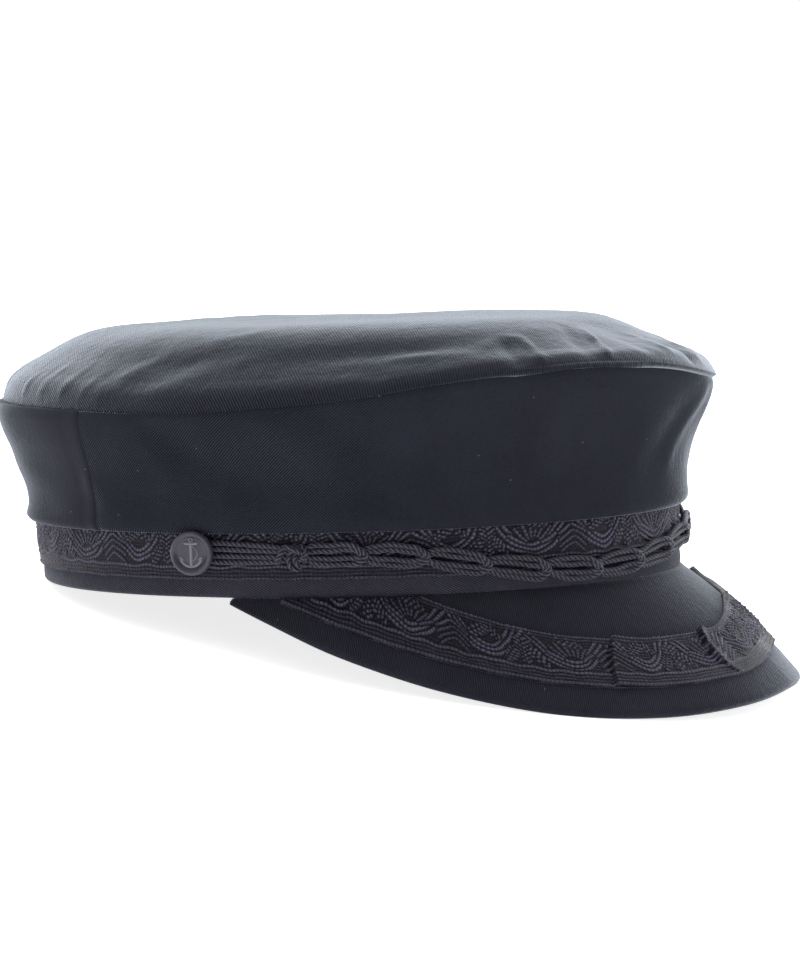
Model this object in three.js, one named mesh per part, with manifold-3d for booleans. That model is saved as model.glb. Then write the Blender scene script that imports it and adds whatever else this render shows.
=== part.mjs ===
// Breton fisherman cap: a soft puffed crown on a ribboned band, a stiff sloping peak with a ribbon of its own,
// and a looped cord across the front between two anchor buttons.
// Millimetres, +Z up. The peak points towards -Y and the wearer's right hand lies towards -X.
// Angles run round the head in degrees, 0 at the front centre and positive towards the wearer's right.
// Everything is drawn with the rim level at z = 0. At the end the cap is laid down as it rests on a table, on
// the edge of its peak and on the back of its rim.
import * as THREE from 'three';
import { mergeVertices } from 'three/addons/utils/BufferGeometryUtils.js';
import Module from 'manifold-3d';

const wasm = await Module();
wasm.setup();

// Driving dimensions
const clearance = 0.3;
const head = { halfLength: 102.6, halfWidth: 84.6 };
const band = { wall: 2.4, height: 25, hem: 5.6, lean: 1.6 };
const ribbon = { width: 18, thickness: 1.1 };
const crown = { wall: 1.8, seamHeight: 58, topHeight: 82, flare: 14, overhang: 3.8 };
const rearSeam = { angle: 120, slant: 3 };
const peak = { depth: 38.5, drop: 35, thickness: 3.2, arch: 1.4, endAngle: 94, taper: 22, margin: 9.3 };
const button = { radius: 6.8, thickness: 2.6, rimWidth: 1.6, dish: 0.7, angle: 99, height: 14.2, turn: 12 };
const shank = { radius: 1.2, length: 3.4 };
const anchor = { height: 7.2, width: 6.2, stroke: 0.9, relief: 0.6 };
const cord = { radius: 0.75, loopRadius: 0.95, pitch: 18.2, lead: 35, spread: 2.7, lift: 1.35 };

// Rings are cut into equal steps, and every ring uses the same ones so that neighbours keep their clearance
const ringStep = 6;
const buttonSides = 20;
const loopSides = 5;
const loopSteps = 1;
const leadSteps = 1;
const joinTolerance = 0.06;

// Height of the seam round the top panel, as a share of crown.seamHeight. The soft crown stands higher on the
// right of its front
const seamTable = [
  { angle: -180, height: 1.02 },
  { angle: -145, height: 1.015 },
  { angle: -120, height: 1 },
  { angle: -98, height: 0.985 },
  { angle: -72, height: 1.005 },
  { angle: -48, height: 1.03 },
  { angle: -24, height: 1.03 },
  { angle: -12, height: 1.035 },
  { angle: 0, height: 1.07 },
  { angle: 12, height: 1.12 },
  { angle: 24, height: 1.16 },
  { angle: 36, height: 1.175 },
  { angle: 48, height: 1.145 },
  { angle: 60, height: 1.1 },
  { angle: 72, height: 1.04 },
  { angle: 84, height: 1.005 },
  { angle: 98, height: 0.985 },
  { angle: 120, height: 1 },
  { angle: 145, height: 1.015 },
  { angle: 180, height: 1.02 },
];

// Side panel from its lip to the seam: up is a share of its height there, the rest are shares of crown.flare
const sideTable = [
  { up: 0, front: 0.24, side: 0.24, back: 0.22 },
  { up: 0.05, front: 0.34, side: 0.34, back: 0.3 },
  { up: 0.14, front: 0.35, side: 0.38, back: 0.27 },
  { up: 0.3, front: 0.34, side: 0.42, back: 0.28 },
  { up: 0.45, front: 0.4, side: 0.52, back: 0.4 },
  { up: 0.6, front: 0.58, side: 0.67, back: 0.58 },
  { up: 0.75, front: 0.83, side: 0.84, back: 0.77 },
  { up: 0.89, front: 1.08, side: 0.96, back: 0.86 },
  { up: 1, front: 1.1, side: 1, back: 0.82 },
];

// Top panel from the seam to its middle: ring is a share of the way out, the rest are shares of the rise
const topTable = [
  { ring: 1, front: 0, side: 0, back: 0 },
  { ring: 0.97, front: 0.17, side: 0.2, back: 0.28 },
  { ring: 0.92, front: 0.32, side: 0.36, back: 0.45 },
  { ring: 0.85, front: 0.53, side: 0.55, back: 0.64 },
  { ring: 0.78, front: 0.74, side: 0.75, back: 0.83 },
  { ring: 0.7, front: 0.9, side: 0.89, back: 0.95 },
  { ring: 0.6, front: 0.97, side: 0.97, back: 0.99 },
  { ring: 0.4, front: 1, side: 1, back: 1 },
  { ring: 0.2, front: 1, side: 1, back: 1 },
  { ring: 0, front: 1, side: 1, back: 1 },
];

// Dents (negative) and folds in the top panel: place by angle and ring, sizes as shares of the rise
const topFolds = [
  { angle: 38, ring: 0.93, spread: 9, run: 0.07, lift: -0.07 },
  { angle: 27, ring: 0.9, spread: 7, run: 0.08, lift: -0.08 },
  { angle: 62, ring: 0.86, spread: 13, run: 0.06, lift: -0.06 },
  { angle: 12, ring: 0.8, spread: 10, run: 0.09, lift: -0.08 },
  { angle: 112, ring: 0.84, spread: 8, run: 0.09, lift: 0.06 },
  { angle: 132, ring: 0.82, spread: 7, run: 0.08, lift: -0.07 },
  { angle: 150, ring: 0.86, spread: 8, run: 0.08, lift: 0.06 },
  { angle: -40, ring: 0.88, spread: 12, run: 0.08, lift: -0.06 },
  { angle: -110, ring: 0.86, spread: 12, run: 0.08, lift: -0.05 },
];

// Edge of the peak: shares of peak.depth outwards and peak.drop down, and of ribbon.width for the ribbon on it,
// which runs out under the rim aslant
const peakTable = [
  { angle: 0, reach: 1, drop: 1.02, braid: 1 },
  { angle: 15, reach: 0.98, drop: 1.05, braid: 1 },
  { angle: 30, reach: 0.91, drop: 1.045, braid: 1 },
  { angle: 45, reach: 0.795, drop: 0.945, braid: 1.05 },
  { angle: 60, reach: 0.635, drop: 0.72, braid: 1.27 },
  { angle: 75, reach: 0.43, drop: 0.41, braid: 1.6 },
  { angle: 85, reach: 0.25, drop: 0.19, braid: 1.6 },
  { angle: 94, reach: 0.06, drop: 0.025, braid: 1.6 },
];

// Height of the cord's middle line above the rim, as a share of the ribbon's upper edge
const cordTable = [
  { angle: -100, height: 0.602 },
  { angle: -60, height: 0.607 },
  { angle: -30, height: 0.613 },
  { angle: -14, height: 0.542 },
  { angle: -2, height: 0.434 },
  { angle: 8, height: 0.325 },
  { angle: 18, height: 0.249 },
  { angle: 29, height: 0.206 },
  { angle: 40, height: 0.26 },
  { angle: 50, height: 0.363 },
  { angle: 60, height: 0.494 },
  { angle: 70, height: 0.553 },
  { angle: 82, height: 0.564 },
  { angle: 100, height: 0.602 },
];

const ribbonTop = band.hem + ribbon.width;
const ribbonFace = clearance + ribbon.thickness;
const lipHeight = ribbonTop - crown.overhang;
const outerLength = head.halfLength + band.wall;
const outerWidth = head.halfWidth + band.wall;
const peakEnd = Math.min(peak.endAngle, peakTable.at(-1).angle);

const radians = THREE.MathUtils.degToRad;

// Value of one column at x, on a smooth curve through the rows
function lookUp(table, key, column, x) {
  const rows = table[0][key] < table.at(-1)[key] ? table : [...table].reverse();
  const last = rows.length - 1;
  if (x <= rows[0][key]) return rows[0][column];
  if (x >= rows[last][key]) return rows[last][column];
  const i = rows.findIndex((row) => row[key] > x) - 1;
  const slope = (k) => {
    const a = rows[Math.max(k - 1, 0)];
    const b = rows[Math.min(k + 1, last)];
    return (b[column] - a[column]) / (b[key] - a[key]);
  };
  const span = rows[i + 1][key] - rows[i][key];
  const t = (x - rows[i][key]) / span;
  const start = rows[i][column];
  const end = rows[i + 1][column];
  const bend = t * (1 - t) * span;
  const ease = t * t * (3 - 2 * t);
  return start + (end - start) * ease + bend * ((1 - t) * slope(i) - t * slope(i + 1));
}

// Mix of the front, side and back columns for a direction
function around(row, angle) {
  const facing = Math.cos(radians(angle));
  const lengthwise = facing > 0 ? row.front : row.back;
  return lengthwise * facing ** 2 + row.side * (1 - facing ** 2);
}

const wrapped = (angle) => THREE.MathUtils.euclideanModulo(angle + 180, 360) - 180;

// Point near the band: offset is the distance out from the band's outer face
function bandPoint(angle, offset, height) {
  const back = band.lean * Math.min(height / band.height, 1);
  return new THREE.Vector3(
    -(outerWidth + offset) * Math.sin(radians(angle)),
    -(outerLength + offset) * Math.cos(radians(angle)) + back,
    height,
  );
}

function seamHeight(angle) {
  return crown.seamHeight * lookUp(seamTable, 'angle', 'height', wrapped(angle));
}

// Closed surface from sections along a piece: each section is a strip with an outer and an inner side
function skin(sections, isRing) {
  const rows = sections[0].outer.length;
  const loop = 2 * rows;
  const points = sections.flatMap(({ outer, inner }) => [...outer, ...[...inner].reverse()]);
  const triangles = [];
  const quad = (a, b, c, d) => triangles.push([a, b, c], [a, c, d]);
  const count = sections.length;
  for (let i = 0; i < (isRing ? count : count - 1); i += 1) {
    const here = i * loop;
    const next = ((i + 1) % count) * loop;
    for (let j = 0; j < loop; j += 1) {
      const k = (j + 1) % loop;
      quad(here + j, here + k, next + k, next + j);
    }
  }
  if (!isRing) {
    const end = (count - 1) * loop;
    for (let j = 0; j < rows - 1; j += 1) {
      const k = loop - 1 - j;
      quad(j, k, k - 1, j + 1);
      quad(end + j, end + j + 1, end + k - 1, end + k);
    }
  }
  return closedGeometry(points, triangles);
}

// Geometry with shared corners, no flat triangles, and its faces pointing out
function closedGeometry(points, triangles) {
  const raw = new THREE.BufferGeometry().setFromPoints(points);
  raw.setIndex(triangles.flat());
  const merged = mergeVertices(raw, 1e-4);
  const place = merged.getAttribute('position');
  const index = [...merged.index.array];
  const corner = (i) => new THREE.Vector3().fromBufferAttribute(place, i);
  const kept = [];
  let volume = 0;
  for (let i = 0; i < index.length; i += 3) {
    const [a, b, c] = index.slice(i, i + 3);
    if (a !== b && b !== c && c !== a) {
      kept.push([a, b, c]);
      volume += corner(a).dot(corner(b).cross(corner(c)));
    }
  }
  merged.setIndex(kept.flatMap(([a, b, c]) => (volume > 0 ? [a, b, c] : [a, c, b])));
  return merged;
}

function toManifold(geometry) {
  const bare = new THREE.BufferGeometry();
  bare.setAttribute('position', geometry.getAttribute('position').clone());
  bare.setIndex(geometry.index ? [...geometry.index.array] : null);
  const merged = mergeVertices(bare, 1e-4);
  return new wasm.Manifold(new wasm.Mesh({
    numProp: 3,
    vertProperties: new Float32Array(merged.getAttribute('position').array),
    triVerts: new Uint32Array(merged.index.array),
    tolerance: joinTolerance,
  }));
}

function joined(geometries) {
  const solids = geometries.map(toManifold);
  const whole = solids.reduce((sum, solid) => sum.add(solid));
  const mesh = whole.getMesh();
  const geometry = new THREE.BufferGeometry();
  geometry.setAttribute('position', new THREE.BufferAttribute(new Float32Array(mesh.vertProperties), 3));
  geometry.setIndex([...mesh.triVerts]);
  return geometry;
}

// Tube of even radius along points, closed into a ring or capped at both ends. One corner of each section faces
// away from the head, so a closed tube meets itself without a twist
function tube(points, radius, sides, stepsEach, isRing) {
  const curve = new THREE.CatmullRomCurve3(points, isRing, 'centripetal');
  const spans = isRing ? points.length : points.length - 1;
  const total = spans * stepsEach;
  const count = isRing ? total : total + 1;
  const corners = [];
  for (let i = 0; i < count; i += 1) {
    const centre = curve.getPoint(i / total);
    const ahead = curve.getTangent(i / total);
    const out = centre.clone().setZ(0).normalize();
    out.addScaledVector(ahead, -out.dot(ahead)).normalize();
    const across = new THREE.Vector3().crossVectors(ahead, out);
    for (let j = 0; j < sides; j += 1) {
      const turn = (2 * Math.PI * j) / sides;
      corners.push(centre.clone()
        .addScaledVector(out, radius * Math.cos(turn))
        .addScaledVector(across, radius * Math.sin(turn)));
    }
  }
  const triangles = [];
  for (let i = 0; i < (isRing ? count : count - 1); i += 1) {
    for (let j = 0; j < sides; j += 1) {
      const k = (j + 1) % sides;
      const [here, next] = [i * sides, ((i + 1) % count) * sides];
      triangles.push([here + j, here + k, next + k], [here + j, next + k, next + j]);
    }
  }
  for (let j = 1; j < sides - 1 && !isRing; j += 1) {
    const end = (count - 1) * sides;
    triangles.push([0, j + 1, j], [end, end + j, end + j + 1]);
  }
  return closedGeometry(corners, triangles);
}

function steps(from, to, step) {
  const count = Math.round((to - from) / step);
  return Array.from({ length: count + 1 }, (_, i) => from + (i * (to - from)) / count);
}

const allRound = steps(0, 360, ringStep).slice(0, -1);

// Band: a plain twill ring with a level lower edge
function makeHeadband() {
  const heights = [0, band.hem, band.height];
  return skin(allRound.map((angle) => ({
    outer: heights.map((height) => bandPoint(angle, 0, height)),
    inner: heights.map((height) => bandPoint(angle, -band.wall, height)),
  })), true);
}

// Woven ribbon round the band, above its hem
function makeBandBraid() {
  const heights = [band.hem, band.hem + ribbon.width / 2, ribbonTop];
  return skin(allRound.map((angle) => ({
    outer: heights.map((height) => bandPoint(angle, ribbonFace, height)),
    inner: heights.map((height) => bandPoint(angle, clearance, height)),
  })), true);
}

// Section of the side panel: it is turned in over the ribbon to the band, and hangs over it as a soft lip
function sideSection(foot, slant = 0) {
  const lip = ribbonFace + clearance;
  const place = (row) => {
    const angle = foot - slant * row.up;
    const height = THREE.MathUtils.lerp(lipHeight, seamHeight(angle) - clearance / 2, row.up);
    return { angle, height, face: crown.flare * around(row, angle) };
  };
  const outer = sideTable.map((row) => {
    const { angle, height, face } = place(row);
    return bandPoint(angle, face, height);
  });
  const inner = sideTable.map((row) => {
    const { angle, height, face } = place(row);
    return bandPoint(angle, row.up > 0 ? Math.max(face - crown.wall, lip) : lip, height);
  });
  return { outer, inner };
}

// Sections of a side panel from one rear seam to the next, which lean forwards as they rise
function panelSections(from, to, slants) {
  const angles = steps(from, to, ringStep).slice(1, -1);
  return [
    sideSection(from + endGap(), slants[0]),
    ...angles.map((angle) => sideSection(angle)),
    sideSection(to - endGap(), slants[1]),
  ];
}

function makeCrownSide() {
  const { angle, slant } = rearSeam;
  return skin(panelSections(-angle, angle, [-slant, slant]), false);
}

function makeCrownBack() {
  const { angle, slant } = rearSeam;
  return skin(panelSections(angle, 360 - angle, [slant, -slant]), false);
}

// Half of the clearance at the rear seams, as an angle
function endGap() {
  return THREE.MathUtils.radToDeg(clearance / 2 / outerWidth);
}

function foldLift(angle, ring) {
  return topFolds.reduce((sum, fold) => {
    const across = wrapped(angle - fold.angle) / fold.spread;
    const along = (ring - fold.ring) / fold.run;
    return sum + fold.lift * Math.exp(-(across ** 2) - along ** 2);
  }, 0);
}

// Top panel: a puffed disc of cloth whose edge meets the side panels
function makeCrownTop() {
  const seamRow = sideTable.at(-1);
  const section = (angle, inset) => topTable.map((row) => {
    const edge = bandPoint(angle, crown.flare * around(seamRow, angle) - inset, seamHeight(angle));
    const centre = new THREE.Vector3(0, bandPoint(0, 0, seamHeight(0)).y + outerLength, 0);
    const low = seamHeight(angle) + clearance / 2;
    const high = crown.topHeight - inset;
    const loose = row.ring > 0 && row.ring < 1;
    const share = around(row, angle) + (loose ? foldLift(angle, row.ring) : 0);
    const point = centre.lerp(edge, row.ring);
    return point.setZ(low + (high - low) * share);
  });
  return skin(allRound.map((angle) => ({
    outer: section(angle, 0),
    inner: section(angle, crown.wall),
  })), true);
}

// Peak: along is 0 at the rim and 1 at its edge, and depth is measured down from its upper face
function peakPoint(angle, along, depth) {
  const size = Math.abs(angle);
  const reach = peak.depth * lookUp(peakTable, 'angle', 'reach', size);
  const drop = peak.drop * lookUp(peakTable, 'angle', 'drop', size);
  const slope = Math.hypot(reach, drop);
  const swell = 4 * peak.arch * along * (1 - along) * (slope / Math.hypot(peak.depth, peak.drop));
  const point = bandPoint(angle, reach * along + (swell - depth) * (drop / slope), 0);
  return point.setZ(-clearance - drop * along + (swell - depth) * (reach / slope));
}

const peakLength = (angle) => Math.hypot(
  peak.depth * lookUp(peakTable, 'angle', 'reach', Math.abs(angle)),
  peak.drop * lookUp(peakTable, 'angle', 'drop', Math.abs(angle)),
);

// Thin at both ends, where it runs out under the rim
function peakThickness(angle) {
  const inset = (peakEnd - Math.abs(angle)) / peak.taper;
  return peak.thickness * THREE.MathUtils.lerp(0.3, 1, THREE.MathUtils.smoothstep(inset, 0, 1));
}

function peakSection(angle) {
  const top = [0, 0.25, 0.5, 0.75, 0.95, 1];
  const thickness = peakThickness(angle);
  const outer = top.map((along) => peakPoint(angle, along, along === 1 ? thickness * 0.3 : 0));
  const inner = top.map((along) => peakPoint(angle, along, thickness * (along === 1 ? 0.7 : 1)));
  const root = bandPoint(angle, -band.wall, 0);
  outer.unshift(root.clone().setZ(-clearance));
  inner.unshift(root.clone().setZ(-clearance - thickness * 0.8));
  return { outer, inner };
}

function makePeak() {
  return skin(steps(-peakEnd, peakEnd, ringStep).map(peakSection), false);
}

// Ribbon on the peak, level with its edge and cut off by the rim at both ends
function makePeakBraid() {
  const reaches = (angle) => peakLength(angle) > peak.margin + ribbon.thickness * 2;
  const angles = steps(-peakEnd, peakEnd, ringStep / 2).filter(reaches);
  return skin(angles.map((angle) => {
    const length = peakLength(angle);
    const far = 1 - peak.margin / length;
    const width = ribbon.width * lookUp(peakTable, 'angle', 'braid', Math.abs(angle));
    const near = Math.max(1 - (peak.margin + width) / length, clearance * 4 / length);
    const rows = [near, (near + far) / 2, far];
    return {
      outer: rows.map((along) => peakPoint(angle, along, -clearance - ribbon.thickness)),
      inner: rows.map((along) => peakPoint(angle, along, -clearance)),
    };
  }), false);
}

// Button: a dished disc on a shank, with a raised anchor. Its axis points along +Z here
function makeButton() {
  const { radius, thickness, rimWidth, dish } = button;
  const crest = thickness - rimWidth * 0.15;
  const profile = [
    [0, -shank.length + clearance],
    [shank.radius, -shank.length + clearance],
    [shank.radius, 0],
    [radius - rimWidth, 0],
    [radius - rimWidth * 0.2, thickness * 0.3],
    [radius, thickness * 0.55],
    [radius - rimWidth * 0.3, thickness * 0.92],
    [radius - rimWidth * 0.65, crest + rimWidth * 0.15],
    [radius - rimWidth, thickness - dish * 0.4],
    [radius - rimWidth * 1.35, thickness - dish],
    [0, thickness - dish],
  ].map(([x, y]) => new THREE.Vector2(x, y));
  const disc = new THREE.LatheGeometry(profile, buttonSides).rotateX(Math.PI / 2);
  const solid = closedGeometry(pointsOf(disc), trianglesOf(disc));
  return joined([solid, ...anchorStrokes().map((shape) => stroke(shape, thickness - dish))]);
}

const pointsOf = (geometry) => {
  const place = geometry.getAttribute('position');
  return Array.from({ length: place.count }, (_, i) => new THREE.Vector3().fromBufferAttribute(place, i));
};

const trianglesOf = (geometry) => {
  const flat = [...geometry.index.array];
  return Array.from({ length: flat.length / 3 }, (_, i) => flat.slice(3 * i, 3 * i + 3));
};

// Anchor of the traditional kind: a ring, a stock, a shank and two curved arms
function anchorStrokes() {
  const { height, width, stroke: line } = anchor;
  const bar = (x, y, across, up) => new THREE.Shape([
    new THREE.Vector2(x - across / 2, y - up / 2),
    new THREE.Vector2(x + across / 2, y - up / 2),
    new THREE.Vector2(x + across / 2, y + up / 2),
    new THREE.Vector2(x - across / 2, y + up / 2),
  ]);
  const arms = new THREE.Shape();
  const armCentre = width / 2 - height / 2;
  const armEnds = [Math.PI + 0.25, 2 * Math.PI - 0.25];
  arms.absarc(0, armCentre, width / 2, armEnds[0], armEnds[1], false);
  arms.absarc(0, armCentre, width / 2 - line, armEnds[1], armEnds[0], true);
  const ringAt = height / 2 - line;
  const eye = new THREE.Shape().absarc(0, ringAt, line, 0, 2 * Math.PI, false);
  eye.holes.push(new THREE.Path().absarc(0, ringAt, line * 0.45, 0, 2 * Math.PI, true));
  return [bar(0, -line * 0.6, line, height - line * 2.2), bar(0, height * 0.2, width * 0.6, line), arms, eye];
}

function stroke(shape, base) {
  const sunk = anchor.relief / 2;
  const flat = new THREE.ExtrudeGeometry(shape, {
    depth: anchor.relief + sunk,
    bevelEnabled: false,
    curveSegments: 5,
  });
  flat.translate(0, 0, base - sunk);
  flat.deleteAttribute('normal');
  flat.deleteAttribute('uv');
  return mergeVertices(flat, 1e-4);
}

// Places a button on the ribbon, its face turned outwards and its anchor upright
function placeButton(mesh, side) {
  const angle = side * button.angle;
  const foot = bandPoint(angle, ribbonFace + shank.length, button.height);
  const [ahead, behind] = [angle - 1, angle + 1].map((at) => bandPoint(at, ribbonFace, button.height));
  const right = ahead.sub(behind).normalize();
  const out = new THREE.Vector3().crossVectors(right, new THREE.Vector3(0, 0, 1)).normalize();
  const up = new THREE.Vector3().crossVectors(out, right);
  mesh.quaternion.setFromRotationMatrix(new THREE.Matrix4().makeBasis(right, up, out));
  mesh.rotateY(side * radians(button.turn));
  mesh.position.copy(foot);
}

// Distance along the ribbon's face from the front centre to each degree, and back again
const cordArc = [0];
for (let angle = 1; angle <= 180; angle += 1) {
  const chord = bandPoint(angle, ribbonFace, 0).distanceTo(bandPoint(angle - 1, ribbonFace, 0));
  cordArc.push(cordArc.at(-1) + chord);
}

function arcAt(angle) {
  const size = Math.min(Math.abs(angle), cordArc.length - 1.001);
  const whole = Math.floor(size);
  return Math.sign(angle) * THREE.MathUtils.lerp(cordArc[whole], cordArc[whole + 1], size - whole);
}

function angleAt(arc) {
  const size = Math.abs(arc);
  const i = cordArc.findIndex((value) => value > size) - 1;
  return Math.sign(arc) * (i + (size - cordArc[i]) / (cordArc[i + 1] - cordArc[i]));
}

// Point of the cord: up from its middle line and out from the ribbon
function cordPoint(arc, up, out) {
  const angle = angleAt(arc);
  return bandPoint(angle, ribbonFace + out, ribbonTop * lookUp(cordTable, 'angle', 'height', angle) + up);
}

// One loop of the chained cord: it starts behind the loop before it and ends in front of the next one
function cordLoop(start) {
  const { pitch, spread, lift, loopRadius } = cord;
  const low = clearance + loopRadius;
  const half = [
    { along: 0.12, up: 0.4, out: 0.05 },
    { along: 0.36, up: 0.88, out: 0.15 },
    { along: 0.64, up: 1, out: 0.35 },
    { along: 0.9, up: 0.72, out: 0.75 },
  ];
  const side = (sign) => half.map((row) => (
    cordPoint(start - row.along * pitch, sign * row.up * spread, low + row.out * lift)
  ));
  const tip = cordPoint(start - 1.08 * pitch, 0, low + lift);
  const tail = cordPoint(start + 0.08 * pitch, 0, low);
  const points = [tail, ...side(1), tip, ...side(-1).reverse()];
  return tube(points, loopRadius, loopSides, loopSteps, true);
}

// Two doubled strands that run from the first loop round the button's shank and back
function cordLead(knot, end) {
  const way = Math.sign(end - knot);
  const low = clearance + cord.radius;
  return [0, 1].map((strand) => {
    const bow = shank.radius + 2 * clearance + cord.radius + strand * 2 * cord.radius;
    const line = cord.radius * (1.2 + 2.3 * strand);
    const legs = [
      {
        along: knot - way * strand * cord.radius * 1.7,
        up: cord.radius * (0.9 + 0.85 * strand),
        out: cord.lift * (0.5 - 0.3 * strand),
      },
      { along: THREE.MathUtils.lerp(knot, end, 0.4), up: line * 0.8, out: 0 },
      { along: end - way * button.radius, up: line, out: 0 },
      { along: end, up: bow, out: 0 },
      { along: end + way * bow * Math.SQRT1_2, up: bow * Math.SQRT1_2, out: 0 },
    ];
    const leg = (sign) => legs.map((row) => cordPoint(row.along, sign * row.up, low + row.out));
    const points = [...leg(1), cordPoint(end + way * bow, 0, low), ...leg(-1).reverse()];
    return tube(points, cord.radius, loopSides, leadSteps, false);
  });
}

function makeCordChain() {
  const end = arcAt(button.angle);
  const free = end - cord.lead;
  const count = Math.round((2 * free) / cord.pitch);
  const first = (count * cord.pitch) / 2;
  const loops = Array.from({ length: count }, (_, i) => cordLoop(first - i * cord.pitch));
  const leads = [...cordLead(first - cord.pitch * 0.04, end), ...cordLead(-first + cord.pitch * 0.05, -end)];
  return joined([...loops, ...leads]);
}

// Angle that brings the edge of the peak and the back of the rim down to one level surface
function restAngle() {
  const heel = bandPoint(180, 0, 0);
  const slopes = steps(-peakEnd, peakEnd, ringStep).flatMap((angle) => (
    peakSection(angle).inner.map((toe) => Math.atan2(heel.z - toe.z, heel.y - toe.y))
  ));
  return Math.max(...slopes);
}

function finish(color, roughness, metalness = 0) {
  return new THREE.MeshStandardMaterial({ color, roughness, metalness });
}

const materials = {
  cloth: finish(0x2b2c36, 0.9),
  clothTop: finish(0x34353f, 0.9),
  hem: finish(0x2d2e39, 0.85),
  braid: finish(0x282932, 0.7),
  peak: finish(0x2b2c36, 0.8),
  cord: finish(0x24252b, 0.7),
  button: finish(0x303037, 0.45, 0.1),
};

const cap = new THREE.Group();

function add(name, geometry, material) {
  const mesh = new THREE.Mesh(geometry, material);
  mesh.name = name;
  cap.add(mesh);
  return mesh;
}

add('headband', makeHeadband(), materials.hem);
add('band_braid', makeBandBraid(), materials.braid);
add('crown_side', makeCrownSide(), materials.cloth);
add('crown_back', makeCrownBack(), materials.cloth);
add('crown_top', makeCrownTop(), materials.clothTop);
add('peak', makePeak(), materials.peak);
add('peak_braid', makePeakBraid(), materials.braid);
add('cord_chain', makeCordChain(), materials.cord);
placeButton(add('button_right', makeButton(), materials.button), 1);
placeButton(add('button_left', makeButton(), materials.button), -1);

// Laid on a table, with the middle of its outline over the origin
cap.rotation.x = -restAngle();
cap.updateMatrixWorld(true);
const reachBox = new THREE.Box3().setFromObject(cap, true);
const middle = reachBox.getCenter(new THREE.Vector3());
cap.position.set(-middle.x, -middle.y, -reachBox.min.z);

const model = new THREE.Group();
model.add(cap);

export default model;
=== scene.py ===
# Breton fisherman cap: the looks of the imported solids.
# Shapes are worked out in millimetres in the cap's own frame. There the rim is level at z = 0, the peak
# points towards -Y and the wearer's right is towards -X. Angles run round the head from the front centre,
# positive towards the wearer's right. lay_down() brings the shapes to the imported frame, in metres.
import math

import bpy
import numpy as np
from mathutils import Matrix, Vector


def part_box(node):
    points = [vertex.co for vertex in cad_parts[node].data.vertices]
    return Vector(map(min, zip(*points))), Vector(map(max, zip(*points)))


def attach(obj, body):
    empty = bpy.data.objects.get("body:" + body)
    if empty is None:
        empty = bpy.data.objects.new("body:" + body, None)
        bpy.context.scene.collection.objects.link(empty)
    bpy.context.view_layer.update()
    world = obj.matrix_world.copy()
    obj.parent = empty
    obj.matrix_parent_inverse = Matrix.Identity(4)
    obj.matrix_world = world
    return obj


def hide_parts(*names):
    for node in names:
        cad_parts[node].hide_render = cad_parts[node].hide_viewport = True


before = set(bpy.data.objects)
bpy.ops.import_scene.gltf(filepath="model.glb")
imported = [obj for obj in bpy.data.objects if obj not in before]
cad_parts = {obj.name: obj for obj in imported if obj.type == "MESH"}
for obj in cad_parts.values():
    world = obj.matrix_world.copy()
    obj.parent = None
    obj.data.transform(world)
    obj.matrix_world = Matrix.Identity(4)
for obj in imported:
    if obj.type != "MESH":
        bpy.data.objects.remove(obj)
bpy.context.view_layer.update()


def table_rows(columns, rows):
    """Rows of a table as dictionaries, with the names of its columns"""
    return [dict(zip(columns.split(), row)) for row in rows]


# Driving dimensions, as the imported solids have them
CLEARANCE = 0.3
HALF_LENGTH, HALF_WIDTH = 105.0, 87.0
BAND_WALL, BAND_HEIGHT, HEM, LEAN = 2.4, 25.0, 5.6, 1.6
RIBBON_WIDTH, RIBBON_THICKNESS = 18.0, 1.1
CROWN_WALL, SEAM_HEIGHT, TOP_HEIGHT, FLARE, OVERHANG = 1.8, 58.0, 82.0, 14.0, 3.8
REAR_SEAM_ANGLE, REAR_SEAM_SLANT = 120.0, 3.0
PEAK_DEPTH, PEAK_DROP, PEAK_THICKNESS, PEAK_ARCH = 38.5, 35.0, 3.2, 1.4
PEAK_END, PEAK_TAPER, PEAK_MARGIN = 94.0, 22.0, 9.3
BUTTON_RADIUS, BUTTON_THICKNESS, BUTTON_RIM, BUTTON_DISH = 6.8, 2.6, 1.6, 0.7
BUTTON_ANGLE, BUTTON_HEIGHT, BUTTON_TURN = 99.0, 14.2, 12.0
SHANK_RADIUS, SHANK_LENGTH = 1.2, 3.4
CORD_PITCH, CORD_LEAD, CORD_SPREAD, CORD_LIFT = 18.2, 35.0, 2.7, 1.35
RING_STEP = 6.0

RIBBON_TOP = HEM + RIBBON_WIDTH
RIBBON_FACE = CLEARANCE + RIBBON_THICKNESS
LIP_HEIGHT = RIBBON_TOP - OVERHANG

# Height of the seam round the top panel, as a share of SEAM_HEIGHT
SEAM_TABLE = {
    "angle": (-180, -145, -120, -98, -72, -48, -24, -12, 0, 12, 24, 36, 48, 60, 72, 84, 98, 120, 145, 180),
    "height": (1.02, 1.015, 1, 0.985, 1.005, 1.03, 1.03, 1.035, 1.07, 1.12, 1.16, 1.175, 1.145, 1.1, 1.04,
               1.005, 0.985, 1, 1.015, 1.02),
}

# Side panel from its lip to the seam: shares of FLARE
SIDE_TABLE = {
    "up": (0, 0.05, 0.14, 0.3, 0.45, 0.6, 0.75, 0.89, 1),
    "front": (0.24, 0.34, 0.35, 0.34, 0.4, 0.55, 0.76, 0.95, 0.99),
    "side": (0.24, 0.34, 0.38, 0.42, 0.52, 0.67, 0.84, 0.96, 1),
    "back": (0.22, 0.3, 0.27, 0.28, 0.4, 0.58, 0.77, 0.86, 0.82),
}

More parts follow.
